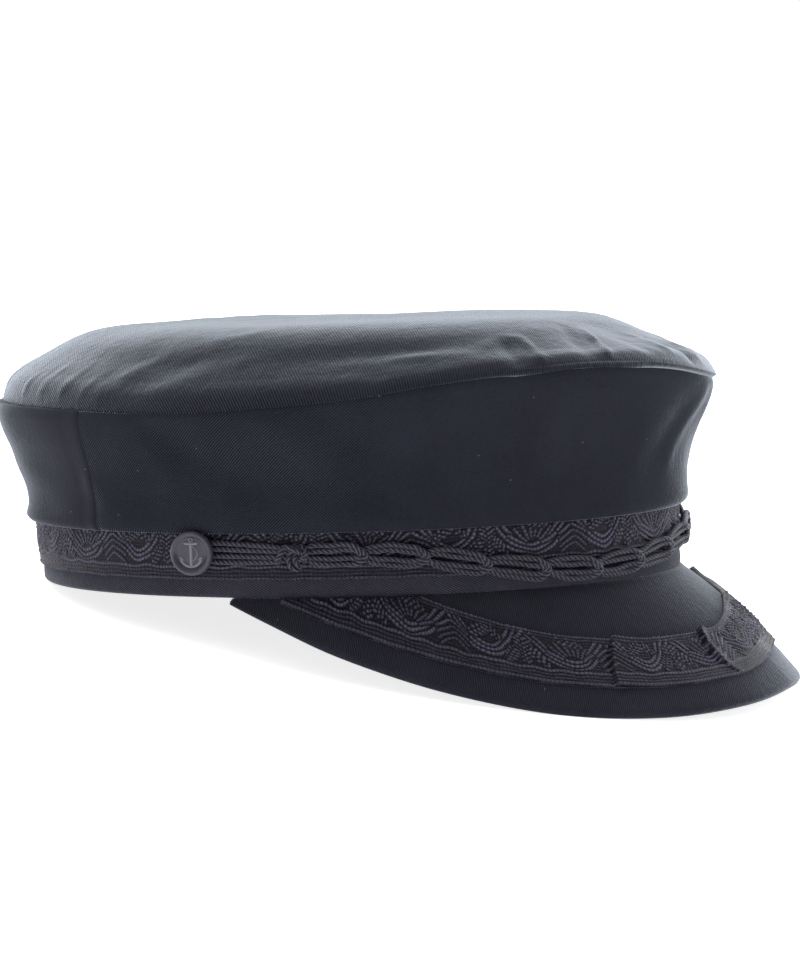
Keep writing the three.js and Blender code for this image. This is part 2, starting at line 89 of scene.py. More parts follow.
# Top panel from the seam to its middle: shares of its rise
TOP_TABLE = {
    "ring": (1, 0.97, 0.92, 0.85, 0.78, 0.7, 0.6, 0.4, 0.2, 0),
    "front": (0, 0.25, 0.39, 0.55, 0.73, 0.9, 0.97, 1, 1, 1),
    "side": (0, 0.2, 0.36, 0.55, 0.75, 0.89, 0.97, 1, 1, 1),
    "back": (0, 0.33, 0.51, 0.69, 0.855, 0.955, 0.99, 1, 1, 1),
}

# Edge of the peak and the width of the ribbon on it
PEAK_TABLE = {
    "angle": (0, 15, 30, 45, 60, 75, 85, 94),
    "reach": (1, 0.98, 0.91, 0.795, 0.635, 0.43, 0.25, 0.06),
    "drop": (1.02, 1.05, 1.045, 0.945, 0.72, 0.41, 0.19, 0.025),
    "braid": (1, 1, 1, 1.05, 1.27, 1.6, 1.6, 1.6),
}

# Height of the cord's middle line, as a share of the ribbon's upper edge
CORD_TABLE = {
    "angle": (-100, -60, -30, -14, -2, 8, 18, 29, 40, 50, 60, 70, 82, 100),
    "height": (0.602, 0.607, 0.613, 0.542, 0.434, 0.325, 0.249, 0.206, 0.26, 0.363, 0.494, 0.553, 0.564,
               0.602),
}

# Soft dents (negative) and folds of the top panel: place by angle and ring, lift as a share of the rise
TOP_DENTS = table_rows("angle ring spread run lift", (
    (38, 0.93, 9, 0.07, -0.07),
    (27, 0.9, 7, 0.08, -0.08),
    (62, 0.86, 13, 0.06, -0.06),
    (12, 0.8, 10, 0.09, -0.08),
    (-40, 0.88, 12, 0.08, -0.06),
    (-110, 0.86, 12, 0.08, -0.05),
))

# Creases of the cloth, as lines on a flattened panel: from one place to another, with a width and a height in
# millimetres. Heights below zero are valleys. rise and fall are the shares of its length over which a crease
# starts and ends, and bow is how far its middle lies to one side
TOP_CREASES = table_rows("x y to_x to_y width height rise fall", (
    (-80, 85, -64, 74, 1.5, 0.41, 0.1, 0.6),
    (-86, 73, -69, 62, 1.6, 0.41, 0.1, 0.6),
    (-92, 62, -74, 51, 1.7, 0.38, 0.1, 0.6),
    (-97, 53, -80, 42, 1.8, 0.3, 0.1, 0.6),
    (-101, 49, -76, 20, 3.4, 0.62, 0.15, 0.5),
    (-101, 38, -78, 2, 4.4, -0.35, 0.3, 0.5),
    (-102, 33, -80, -20, 5.0, 0.38, 0.3, 0.5),
    (-85, 28, -66, -16, 6.0, 0.42, 0.3, 0.5),
    (-94, -14, -78, -68, 3.2, 0.55, 0.45, 0.3),
    (-99, -26, -86, -66, 4.6, -0.62, 0.45, 0.3),
    (-76, -62, -59, -74, 3.0, 0.52, 0.3, 0.3),
    (-59, -71, -80, -88, 1.4, 0.9, 0.35, 0.12),
    (-63, -66, -85, -82, 3.0, -0.68, 0.3, 0.2),
    (-29, -86, -62, -105, 1.4, 0.85, 0.4, 0.12),
    (-34, -80, -67, -99, 3.0, -0.6, 0.3, 0.2),
    (-8, -95, -26, -117, 3.4, 0.75, 0.3, 0.2),
    (-24, -98, -40, -114, 4.5, -0.6, 0.3, 0.3),
    (-3, -106, -13, -124, 2.6, -0.68, 0.3, 0.15),
    (10, -104, -4, -124, 3.4, 0.68, 0.3, 0.2),
    (30, -92, 52, -108, 2.4, 0.75, 0.3, 0.15),
    (38, -86, 60, -100, 3.4, -0.6, 0.3, 0.2),
    (66, -66, 88, -80, 2.6, 0.75, 0.3, 0.15),
    (76, -48, 93, -20, 4.6, -0.83, 0.3, 0.3),
    (70, -54, 84, -12, 4.0, 0.68, 0.3, 0.3),
    (102, 38, 78, 4, 3.6, 0.75, 0.3, 0.5),
    (96, 52, 72, 30, 3.0, 0.52, 0.1, 0.5),
    (84, 76, 68, 62, 1.8, 0.45, 0.1, 0.6),
    (70, 94, 58, 78, 1.8, 0.45, 0.1, 0.6),
    (20, 122, 16, 104, 2.4, 0.45, 0.1, 0.6),
    (-24, 121, -30, 98, 3.2, 0.45, 0.1, 0.6),
    (-50, 108, -44, 90, 2.2, 0.45, 0.1, 0.6),
    (-30, 40, 28, -10, 9.0, -0.6, 0.3, 0.3),
    (-8, 62, 46, 30, 8.0, 0.52, 0.3, 0.3),
))
SIDE_CREASES = table_rows("x y to_x to_y width height rise fall bow", (
    (196, 46, 166, 26, 5.0, 0.5),
    (128, 36, 92, 22, 6.5, -0.9),
    (184, 53, 170, 33, 4.5, 0.7),
    (210, 40, 196, 24, 4.5, 0.6),
    (214, 26, 304, 26, 5.5, -1.2),
    (226, 38, 304, 38, 4.0, 0.5),
    (-304, 27, -232, 29, 5.5, -1.0),
    (-304, 38, -236, 42, 4.5, 0.5),
    (26, 25, 2, 58, 6.0, -0.7),
    (-8, 59, 14, 29, 4.0, 0.6, 0.2),
    (186, 57, 138, 31, 6.5, -2.1, 0.3, 0.3, -2),
    (152, 58, 112, 34, 6.5, 1.8),
    (44, 60, 60, 38, 6.0, -0.6),
    (86, 26, 64, 56, 9.0, 0.6),
    (-12, 58, -30, 28, 6.0, 0.9),
    (-70, 56, -104, 28, 6.0, -0.9),
    (-120, 54, -160, 32, 6.0, 0.9),
    (-190, 50, -176, 28, 5.0, 0.7),
))

# View of the photograph: the lens stands this far from the cap, turned round it from the front and raised
VIEW = {"around": 69.0, "raised": 4.28, "distance": 1150.0, "roll": -2.04, "across": 13.91, "up": 25.49}
PHOTO_HEIGHT, PHOTO_FOCAL = 978, 3541.85
SENSOR = 36.0


# Curves and places

def smooth(t):
    t = np.clip(t, 0, 1)
    return t * t * (3 - 2 * t)


def bell(x, width):
    """1 at x = 0 and next to nothing two widths away"""
    return np.exp(-(x / width) ** 2)


def round_off(gap, radius):
    """How far back a face with a rounded edge lies, gap from that edge"""
    return radius * (1 - np.sqrt(1 - np.clip(1 - gap / radius, 0, 1) ** 2))


def wrapped(angle):
    return (np.asarray(angle, float) + 180) % 360 - 180


def unit(vectors):
    return vectors / np.linalg.norm(vectors, axis=-1, keepdims=True)


def run_along(points):
    """Distance of each place along its line, from 0 at the first"""
    return np.r_[0, np.cumsum(np.linalg.norm(np.diff(points, axis=0), axis=1))]


def look_up(table, column, x):
    """Value of a column at x, on a smooth curve through the rows, whose x are the table's first column"""
    xs, ys = (np.array(table[name], float) for name in (next(iter(table)), column))
    if xs[0] > xs[-1]:
        xs, ys = xs[::-1], ys[::-1]
    last = len(xs) - 1
    row = np.arange(last + 1)
    before, after = np.maximum(row - 1, 0), np.minimum(row + 1, last)
    slope = (ys[after] - ys[before]) / (xs[after] - xs[before])
    x = np.clip(x, xs[0], xs[-1])
    i = np.clip(np.searchsorted(xs, x, side="right") - 1, 0, last - 1)
    span = xs[i + 1] - xs[i]
    t = (x - xs[i]) / span
    bend = t * (1 - t) * span * ((1 - t) * slope[i] - t * slope[i + 1])
    return ys[i] + (ys[i + 1] - ys[i]) * smooth(t) + bend


def around(table, x, angle):
    """Mix of a table's front, side and back columns for a direction"""
    facing = np.cos(np.radians(angle))
    front, side, back = (look_up(table, column, x) for column in ("front", "side", "back"))
    return np.where(facing > 0, front, back) * facing ** 2 + side * (1 - facing ** 2)


def band_point(angle, offset, height):
    """Point near the band: offset is the distance out from its outer face"""
    angle, offset, height = np.broadcast_arrays(*(np.asarray(v, float) for v in (angle, offset, height)))
    turn = np.radians(angle)
    back = LEAN * np.minimum(height / BAND_HEIGHT, 1)
    x = -(HALF_WIDTH + offset) * np.sin(turn)
    y = -(HALF_LENGTH + offset) * np.cos(turn) + back
    return np.stack([x, y, height], -1)


def seam_height(angle):
    return SEAM_HEIGHT * look_up(SEAM_TABLE, "height", wrapped(angle))


def arc_table(offset):
    """Distance along the band from the front centre, for each degree from -180 to 180"""
    angles = np.arange(-180.0, 181.0)
    along = run_along(band_point(angles, offset, 0.0))
    return angles, along - along[180]


ARC_ANGLES, ARC_LENGTHS = arc_table(RIBBON_FACE)


def arc_at(angle):
    return np.interp(angle, ARC_ANGLES, ARC_LENGTHS)


def angle_at(arc):
    return np.interp(arc, ARC_LENGTHS, ARC_ANGLES)


# Peak

ROOT_GAP = 0.03


def peak_reach(angle):
    return PEAK_DEPTH * look_up(PEAK_TABLE, "reach", np.abs(angle))


def peak_fall(angle):
    return PEAK_DROP * look_up(PEAK_TABLE, "drop", np.abs(angle))


def peak_length(angle):
    return np.hypot(peak_reach(angle), peak_fall(angle))


def peak_point(angle, along, depth):
    """Point of the peak: along is 0 at the rim and 1 at its edge, depth is down from its upper face"""
    reach, fall, slope = peak_reach(angle), peak_fall(angle), peak_length(angle)
    swell = 4 * PEAK_ARCH * along * (1 - along) * (slope / math.hypot(PEAK_DEPTH, PEAK_DROP))
    # It is a little fuller on the left
    swell = swell * (1 + 0.7 * bell(angle + 36, 20))
    point = band_point(angle, reach * along + (swell - depth) * (fall / slope), 0.0)
    root = -ROOT_GAP - (CLEARANCE - ROOT_GAP) * smooth(along * slope / 3)
    point[..., 2] = root - fall * along + (swell - depth) * (reach / slope)
    return point


def peak_thickness(angle):
    inset = (PEAK_END - np.abs(angle)) / PEAK_TAPER
    return PEAK_THICKNESS * (0.3 + 0.7 * smooth(inset))


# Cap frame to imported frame

def rest_angle():
    """Angle that brings the edge of the peak and the back of the rim down to one level surface"""
    heel = band_point(180, 0, 0)
    angles = np.linspace(-PEAK_END, PEAK_END, round(2 * PEAK_END / RING_STEP) + 1)
    toes = []
    for along, share in ((0, 1), (0.25, 1), (0.5, 1), (0.75, 1), (0.95, 1), (1, 0.7)):
        toes.append(peak_point(angles, np.full_like(angles, along), share * peak_thickness(angles)))
    toes = np.concatenate(toes)
    return np.arctan2(heel[2] - toes[:, 2], heel[1] - toes[:, 1]).max()


REST = rest_angle()
TILT = np.array([
    [1, 0, 0],
    [0, math.cos(REST), math.sin(REST)],
    [0, -math.sin(REST), math.cos(REST)],
])


def find_shift():
    """Where the cap frame's origin lies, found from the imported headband"""
    angles = np.arange(0, 360, RING_STEP)
    rings = [band_point(angles, offset, height) @ TILT.T
             for offset in (0, -BAND_WALL) for height in (0, HEM, BAND_HEIGHT)]
    low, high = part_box("headband")
    mine = np.concatenate(rings)
    mine_middle = (mine.min(0) + mine.max(0)) / 2
    return (np.array(low) + np.array(high)) / 2 * 1000 - mine_middle


SHIFT = find_shift()


def lay_down(points):
    return (np.asarray(points, float) @ TILT.T + SHIFT) / 1000


# Meshes

def linked(name, data):
    """Object of some data, in the scene"""
    made = bpy.data.objects.new(name, data)
    bpy.context.scene.collection.objects.link(made)
    return made


def mesh_object(name, points, quads, uv, values=None):
    """Object from corner places in the cap frame and four-cornered faces. uv has a pair for each face corner,
    and values a number for each place, kept as the attribute relief"""
    place = lay_down(points)
    a, b, c, d = (place[quads[:, k]] for k in range(4))
    outward = np.einsum("ij,ij->i", (a + b + c + d) / 4 - place.mean(0), np.cross(c - a, d - b)).sum()
    if outward < 0:
        quads, uv = quads[:, ::-1], uv.reshape(-1, 4, 2)[:, ::-1]
    mesh = bpy.data.meshes.new(name)
    mesh.vertices.add(len(place))
    mesh.vertices.foreach_set("co", place.astype(np.float32).ravel())
    mesh.loops.add(quads.size)
    mesh.loops.foreach_set("vertex_index", quads.astype(np.int32).ravel())
    mesh.polygons.add(len(quads))
    mesh.polygons.foreach_set("loop_start", np.arange(0, quads.size, 4, dtype=np.int32))
    mesh.polygons.foreach_set("use_smooth", np.ones(len(quads), bool))
    mesh.update(calc_edges=True)
    mesh.uv_layers.new(name="cloth").data.foreach_set("uv", uv.astype(np.float32).ravel())
    if values is not None:
        relief = mesh.attributes.new("relief", "FLOAT", "POINT")
        relief.data.foreach_set("value", values.astype(np.float32).ravel())
    return linked(name, mesh)


def grid_quads(rows, columns, wrap_rows, wrap_columns):
    """Faces of a grid of places, and for each face corner its row and column before wrapping"""
    i, j = np.meshgrid(np.arange(rows - 1 + wrap_rows), np.arange(columns - 1 + wrap_columns), indexing="ij")
    corners = [(i, j), (i + 1, j), (i + 1, j + 1), (i, j + 1)]
    quads = np.stack([(r % rows) * columns + c % columns for r, c in corners], -1).reshape(-1, 4)
    spots = np.stack([np.stack([r, c], -1) for r, c in corners], 2).reshape(-1, 2)
    return quads, spots


def fan_section(hub, start, stop):
    """Faces in a fan round one column, each a tuple of columns"""
    return [(hub, k, k + 1, k + 2) for k in range(start, stop, 2)]


def paired_section(columns):
    """Faces between the two sides of a section that runs out and back, each a tuple of columns"""
    return [(j, columns - 1 - j, columns - 2 - j, j + 1) for j in range(columns // 2 - 1)]


def close_ends(quads, uv, steps, columns, section, order, uv_grid=None):
    """Adds the faces of a section at both ends of a strip. order is 1 or -1, which way round they are at its
    first end. Their uv is 0 where there is no grid of it"""
    section = np.array(section)
    caps = np.concatenate([section[:, ::order], section[:, ::-order] + (steps - 1) * columns])
    at = caps.ravel()
    cap_uv = np.zeros((at.size, 2)) if uv_grid is None else uv_grid[at // columns, at % columns]
    return np.concatenate([quads, caps]), np.concatenate([uv, cap_uv])


def shell(name, outer, inner, uv_outer, ring, relief=None):
    """Closed cloth wall from grids of outer and inner places, (steps along, steps across, 3). The inner side
    may have fewer steps across. A ring closes on itself along. uv_outer is (steps along + 1 if a ring, steps
    across, 2)"""
    steps, across = outer.shape[:2]
    back = inner.shape[1]
    columns = across + back
    uv_inner = uv_outer[:, np.round(np.linspace(across - 1, 0, back)).astype(int)]
    points = np.concatenate([outer, inner[:, ::-1]], axis=1)
    quads, spots = grid_quads(steps, columns, ring, True)
    uv_grid = np.concatenate([uv_outer, uv_inner, uv_outer[:, :1]], axis=1)
    uv = uv_grid[spots[:, 0], spots[:, 1]]
    if not ring and across == back:
        quads, uv = close_ends(quads, uv, steps, columns, paired_section(columns), -1, uv_grid)
    elif not ring:
        section = fan_section(columns - 1, 0, across - 1)
        quads, uv = close_ends(quads, uv, steps, columns, section, 1, uv_grid)
    values = None
    if relief is not None:
        values = np.concatenate([relief, np.zeros((steps, back))], axis=1)
    return mesh_object(name, points.reshape(-1, 3), quads, uv, values)


def merged(parts):
    """Several (points, quads, uv, values) as one"""
    points, quads, uv, values = zip(*parts)
    starts = np.cumsum([0] + [len(place) for place in points])
    quads = [faces + start for faces, start in zip(quads, starts)]
    return [np.concatenate(group) for group in (points, quads, uv, values)]


# Cloth surface

def ripple(x, y, size, seed, waves=7):
    """Gentle unevenness between about -1 and 1, of about that size in millimetres"""
    random = np.random.default_rng(seed)
    total = 0.0
    for _ in range(waves):
        turn, phase = random.uniform(0, 2 * math.pi, 2)
        length = size * random.uniform(0.7, 1.6)
        total = total + np.sin((x * math.cos(turn) + y * math.sin(turn)) * 2 * math.pi / length + phase)
    return total / math.sqrt(waves * 2)


def crease_lift(creases, x, y):
    """Height of the creases at places of a flattened panel"""
    total = np.zeros(np.broadcast(x, y).shape)
    for crease in creases:
        x0, y0 = crease["x"], crease["y"]
        dx, dy = crease["to_x"] - x0, crease["to_y"] - y0
        length = math.hypot(dx, dy)
        along = ((x - x0) * dx + (y - y0) * dy) / length ** 2
        side = ((x - x0) * dy - (y - y0) * dx) / length
        side = side - crease.get("bow", 0) * 4 * along * (1 - along)
        fade = smooth(along / crease.get("rise", 0.3)) * smooth((1 - along) / crease.get("fall", 0.3))
        total += crease["height"] * fade * bell(side, crease["width"])
    return total


# Crown

SEAM_GROOVE = 0.4
TUCK = 1.2
FOLD_RADIUS = 0.5


def side_point(foot, up, slant, inset):
    """Point of a side panel at its place round the lip and its share of the way up to the seam"""
    angle = foot - slant * up
    height = LIP_HEIGHT + (seam_height(angle) - CLEARANCE / 2 - LIP_HEIGHT) * up
    face = FLARE * around(SIDE_TABLE, up, angle)
    arc = arc_at(wrapped(angle))
    loose = smooth(up / 0.1) * smooth((1 - up) / 0.1)
    face = face + loose * (crease_lift(SIDE_CREASES, arc, height) + 0.35 * ripple(arc, height, 42, 5))
    groove = SEAM_GROOVE * bell(1 - up, 0.014) - 0.15 * bell(1 - up - 0.06, 0.03)
    lip = RIBBON_FACE + CLEARANCE
    face = np.maximum(face - groove - inset, lip) if inset else face - groove
    return band_point(angle, face, height)


def side_panel(name, foot_from, foot_to, slants, columns, tuck):
    """Panel between two seams, which lean as they rise. A tucked panel goes under its neighbour's edges, and
    that one's edges are folded over and stand a little proud"""
    up = np.r_[0, 0.004, 0.012, 0.025, 0.045, np.linspace(0.07, 0.93, 46), 0.95, 0.965, 0.978, 0.989, 1]
    reach = abs(foot_to - foot_from) * math.radians(1) * HALF_WIDTH
    fine = np.array([0, 0.12, 0.3, 0.55, 0.9, 1.4, 2.1, 3]) / reach
    t = np.r_[fine, np.linspace(fine[-1], 1 - fine[-1], columns)[1:-1], 1 - fine[::-1]][:, None]
    foot = foot_from + (foot_to - foot_from) * t
    slant = slants[0] * smooth(1 - t * 8) + slants[1] * smooth(1 - (1 - t) * 8)
    foot, up = np.broadcast_arrays(foot, up[None])
    slant = np.broadcast_to(slant, up.shape)
    outer, inner = (side_point(foot, up, slant, inset) for inset in (0, CROWN_WALL))
    gap = np.minimum(t, 1 - t) * reach
    if tuck:
        edge_in = 0.25 * smooth(1 - (gap - TUCK) / (3 * TUCK))
    else:
        stitching = 0.1 * bell(gap - 5.2, 0.8) * smooth(up * 30)
        edge_in = round_off(gap, FOLD_RADIUS) - 0.25 * bell(gap - 1.4, 1.3) + stitching
    outer = pull_in(outer, np.broadcast_to(edge_in, up.shape))
    # Its lower edge rolls in
    outer = pull_in(outer, 0.5 * np.exp(-up / 0.009))
    arc = arc_at(wrapped(foot))
    if foot_to > 180:
        across = np.where(foot > 180, ARC_LENGTHS[-1] * 2 + arc, arc)
    else:
        across = arc * 1.12
    return shell(name, outer, inner, np.stack([across, outer[..., 2]], -1), False)


def pull_in(points, amount):
    """Moves places towards the cap's middle axis"""
    out = points.copy()
    flat = points[..., :2]
    length = np.linalg.norm(flat, axis=-1, keepdims=True)
    out[..., :2] = flat * (1 - np.asarray(amount)[..., None] / length)
    return out


def top_dents(angle, ring):
    total = 0.0
    for dent in TOP_DENTS:
        across = wrapped(angle - dent["angle"]) / dent["spread"]
        along = (ring - dent["ring"]) / dent["run"]
        total = total + dent["lift"] * np.exp(-across ** 2 - along ** 2)
    return total


def top_surface(angle, ring):
    """Outer face of the top panel"""
    edge = band_point(angle, FLARE * around(SIDE_TABLE, np.ones_like(ring), angle), 0.0)
    centre = np.array([0, band_point(0, 0, SEAM_HEIGHT)[1] + HALF_LENGTH, 0])
    point = centre + (edge - centre) * ring[..., None]
    low = seam_height(angle) + CLEARANCE / 2
    share = around(TOP_TABLE, ring, angle)
    share = share + np.where(ring < 1, top_dents(angle, ring), 0)
    point[..., 2] = low + (TOP_HEIGHT - low) * share
    return point


def crown_top():
    count = 420
    angle = np.arange(count) * 360 / count
    ring = np.r_[1, 0.9975, 0.994, 0.988, np.linspace(0.98, 0.72, 44), np.linspace(0.71, 0.02, 46)]
    middle = len(ring)
    angle, ring = np.meshgrid(angle, ring, indexing="ij")
    base = top_surface(angle, ring)
    # Length along the cloth from the middle, so that the weave isn't stretched where the panel turns down
    gaps = np.linalg.norm(np.diff(base[:, ::-1], axis=1), axis=2)
    inner_most = np.linalg.norm(base[:, -1, :2] - [0, LEAN], axis=1)[:, None]
    run = (inner_most + np.concatenate([np.zeros((count, 1)), np.cumsum(gaps, axis=1)], axis=1))[:, ::-1]
    flat_x, flat_y = -run * np.sin(np.radians(angle)), -run * np.cos(np.radians(angle))
    normal = ring_normals(base)
    normal *= np.sign(normal[..., 2:3] + 1e-9)
    loose = smooth((1 - ring) / 0.05)
    uneven = 0.85 + 0.3 * ripple(flat_x, flat_y, 11, 14)
    lift = crease_lift(TOP_CREASES, flat_x, flat_y) * uneven * smooth((1 - ring) / 0.02)
    lift = lift + loose * (0.35 * ripple(flat_x, flat_y, 55, 11) + 0.05 * ripple(flat_x, flat_y, 10, 12))
    lift = lift - SEAM_GROOVE * 0.7 * bell(1 - ring, 0.004)
    outer = base + normal * lift[..., None]
    inner = outer - normal * CROWN_WALL
    points = np.concatenate([outer, inner[:, ::-1]], axis=1)
    columns = points.shape[1]
    here = np.arange(count) * columns
    after = np.roll(here, -1)
    seam = np.stack([here + columns - 1, after + columns - 1, after, here], -1)
    quads = np.concatenate([grid_quads(count, columns, True, False)[0], seam])
    uv_outer = np.stack([flat_x, flat_y], -1)
    uv = np.concatenate([uv_outer, uv_outer[:, ::-1]], axis=1).reshape(-1, 2)[quads.ravel()]
    return mesh_object("crown_top_cloth", *close_middle(points, quads, uv, middle))


def close_middle(points, quads, uv, middle):
    """Turns the last ring of the outer face and the first of the inner into flat middles. The grid runs
    straight from one to the other there, so those faces go and two fans of quads take their place"""
    count, columns = points.shape[:2]
    flat = points.reshape(-1, 3)
    keep = ~((quads[:, 0] % columns == middle - 1) & (quads[:, 2] % columns == middle))
    fans, fan_uv = [quads[keep]], [uv.reshape(-1, 4, 2)[keep].reshape(-1, 2)]
    threes = (np.arange(0, count, 2)[:, None] + np.arange(3)) % count
    for column, flip in ((middle - 1, 1), (middle, -1)):
        ring = points[:, column]
        hub = np.full((len(threes), 1), len(flat))
        fans.append(np.concatenate([threes * columns + column, hub], axis=1)[:, ::flip])
        flat = np.concatenate([flat, ring.mean(0)[None]])
        corners = np.concatenate([ring[threes], np.broadcast_to(ring.mean(0), (len(threes), 1, 3))], axis=1)
        fan_uv.append(corners[:, ::flip, :2].reshape(-1, 2))
    return flat, np.concatenate(fans), np.concatenate(fan_uv)


def ring_normals(points):
    """Unit normals of a grid of places that closes on itself along"""
    along = np.roll(points, -1, 0) - np.roll(points, 1, 0)
    normal = np.cross(along, np.gradient(points, axis=1))
    return normal / np.maximum(np.linalg.norm(normal, axis=-1, keepdims=True), 1e-9)


# Band

def headband():
    count = 540
    angle = np.arange(count + 1)[:, None] * 360 / count
    height = BAND_HEIGHT * (1 - np.cos(np.linspace(0, math.pi, 44))) / 2
    edge_gap = np.minimum(height, BAND_HEIGHT - height)
    free, sewn = -round_off(edge_gap, 1.2), -round_off(edge_gap, 0.5)
    arc = np.arange(count + 1)[:, None] / count * (ARC_LENGTHS[-1] * 2)
    fullness = 0.35 * bell(height - HEM * 0.45, HEM * 0.5)
    over_peak = smooth((PEAK_END + 5 - np.abs(wrapped(angle))) / 8)
    face = free + (sewn - free) * over_peak
    wave = 0.18 * ripple(arc + 0 * height, 3 * height[None], 30, 21) * (height < HEM + 1)
    wave[-1] = wave[0]
    outer = band_point(angle, face + fullness + wave * smooth(height / 1.5), height)[:-1]
    inner = band_point(angle, -BAND_WALL, np.linspace(0, BAND_HEIGHT, 8))[:-1]
    uv = np.stack(np.broadcast_arrays(arc, height[None]), -1)
    return shell("headband_cloth", outer, inner, uv, True)


# Woven ribbon

REPEAT = 50.0
CHART_STEP = 0.125
RIB, YARN_TWIST = 0.95, 1.25


def strokes():
    """Cords of the ribbon's pattern on one repeat: (places along a cord, its half width, its height)"""
    t = np.linspace(-1, 1, 90)
    made = []

    def cup(left, right, low, high, shifts):
        """Cords side by side, down from the upper edge and up to it again"""
        for shift in shifts:
            half = (right - left) / 2 + shift
            rise = (high - low) * np.abs(t) ** 1.9
            made.append((np.stack([(left + right) / 2 + half * t, low - shift + rise], -1), 0.56, 1.0))

    def satin(u, v, turn, length, breadth, count):
        """Leaf of slanting stitches on either side of a vein"""
        direction = np.array([math.cos(math.radians(turn)), math.sin(math.radians(turn))])
        across = np.array([-direction[1], direction[0]])
        s = np.linspace(0, 1, 12)[:, None]
        for k in range(count):
            at = (k + 0.5) / count
            reach = breadth * math.sin(math.pi * at) ** 0.6
            root = np.array([u, v]) + direction * length * at
            for side in (-1, 1):
                end = root + direction * reach * 0.6 + across * side * reach
                made.append((root + (end - root) * s, 0.46, 0.9))

    def fan(u, v, near, far, first, last, count):
        """Cords that spread from one place"""
        for turn in np.radians(np.linspace(first, last, count)):
            way = np.array([math.cos(turn), math.sin(turn)])
            run = np.linspace(near, far, 20)[:, None]
            made.append((np.array([u, v]) + way * run, 0.48, 0.85))

    def chevrons(u, v, reach, tall, count, step):
        """Pointed arches one above another"""
        for k in range(count):
            s = np.linspace(-1, 1, 30)
            arch = np.stack([u + reach * s, v + step * k + tall * (1 - np.abs(s) ** 1.3)], -1)
            made.append((arch, 0.42, 0.8))

    cup(0, 28, 6.3, 18.6, (-1.5, 0, 1.5))
    cup(28, 50, 7.2, 18.8, (-1.45, 0, 1.45))
    fan(13.5, 6.8, 3.6, 8.4, 28, 152, 8)
    for leaf in ((8.2, 13.4, 20, 9.0, 1.9, 6), (34.0, 11.6, 38, 7.5, 1.9, 5), (44.0, 11.2, 142, 7.0, 1.9, 5),
                 (28.0, 4.6, 90, 9.5, 2.8, 7), (21.8, 4.9, 52, 7.5, 1.7, 5), (34.4, 4.9, 128, 6.5, 1.7, 5)):
        satin(*leaf)
    chevrons(50.0, 4.8, 4.6, 3.0, 4, 1.9)
    chevrons(13.8, 4.5, 3.6, -0.6, 1, 1.2)
    line = np.linspace(0, REPEAT, 120)
    for v, width, height in ((0.5, 0.5, 0.75), (1.65, 0.48, 0.6), (2.75, 0.48, 0.62), (3.95, 0.54, 0.88),
                             (16.5, 0.45, 0.68), (17.5, 0.5, 0.9)):
        waver = 0.07 * np.sin(line * 2 * math.pi / REPEAT * 3 + v * 5)
        made.append((np.stack([line, v + waver], -1), width, height))
    return made


def braid_chart():
    """Heights of one repeat of the ribbon on an even grid, from 0 at its ground to 1 at its boldest cords"""
    u = np.arange(0, REPEAT, CHART_STEP)
    v = np.arange(0, RIBBON_WIDTH + CHART_STEP / 2, CHART_STEP)
    grid_u, grid_v = np.meshgrid(u, v, indexing="ij")
    ribs = 0.5 + 0.5 * np.cos(2 * math.pi * grid_v / RIB)
    chart = 0.5 * ribs * (0.66 + 0.34 * np.cos(2 * math.pi * grid_u / RIB + np.pi * np.round(grid_v / RIB)))
    for curve, width, height in strokes():
        run = run_along(curve)
        best = np.full(grid_u.shape, 9.0)
        at = np.zeros(grid_u.shape)
        for shift in (-REPEAT, 0, REPEAT):
            low, high = curve.min(0) + [shift - 1, -1], curve.max(0) + [shift + 1, 1]
            i = slice(*np.searchsorted(u, (low[0], high[0])))
            j = slice(*np.searchsorted(v, (low[1], high[1])))
            if i.start == i.stop or j.start == j.stop:
                continue
            gu, gv = grid_u[i, j, None], grid_v[i, j, None]
            distance = np.hypot(gu - curve[:, 0] - shift, gv - curve[:, 1])
            nearest = distance.argmin(-1)
            value = distance.min(-1)
            closer = value < best[i, j]
            best[i, j] = np.where(closer, value, best[i, j])
            at[i, j] = np.where(closer, run[nearest], at[i, j])
        round_top = np.sqrt(np.clip(1 - (best / width) ** 2, 0, 1))
        twist = 0.72 + 0.28 * np.cos(2 * math.pi * at / YARN_TWIST)
        beside = (best < width + 0.42) & (best >= width)
        chart = np.where(beside, np.minimum(chart, 0.12), np.maximum(chart, height * round_top * twist))
    return chart


CHART = braid_chart()


def braid_height(u, v):
    """Height of the ribbon's pattern at u along and v across, in millimetres"""
    u, v = np.broadcast_arrays(u, v)
    columns, rows = CHART.shape
    x = (u % REPEAT) / CHART_STEP
    y = np.clip(v / CHART_STEP, 0, rows - 1.001)
    i, j = x.astype(int) % columns, y.astype(int)
    fx, fy = x - x.astype(int), y - j
    k = (i + 1) % columns
    low = CHART[i, j] * (1 - fx) + CHART[k, j] * fx
    high = CHART[i, j + 1] * (1 - fx) + CHART[k, j + 1] * fx
    return low * (1 - fy) + high * fy


def drawn_askew(u, v):
    """The pattern isn't quite even: its cords wander a little along and across"""
    inside = smooth(np.minimum(v, RIBBON_WIDTH - v) / 4)
    return u + 0.45 * ripple(u, v, 9, 51), np.clip(v + 0.3 * inside * ripple(u, v, 7, 52), 0, RIBBON_WIDTH)


RELIEF, GROUND_DEPTH, SOFT_EDGE = 0.85, 0.55, 0.5


def ribbon_face(relief, edge_gap):
    """How far the ribbon's face stands over what it is sewn on, with its pattern and its soft edges"""
    edge = np.sqrt(np.clip(edge_gap / SOFT_EDGE, 0, 1))
    return RIBBON_FACE - GROUND_DEPTH + RELIEF * relief - SOFT_EDGE * (1 - edge)


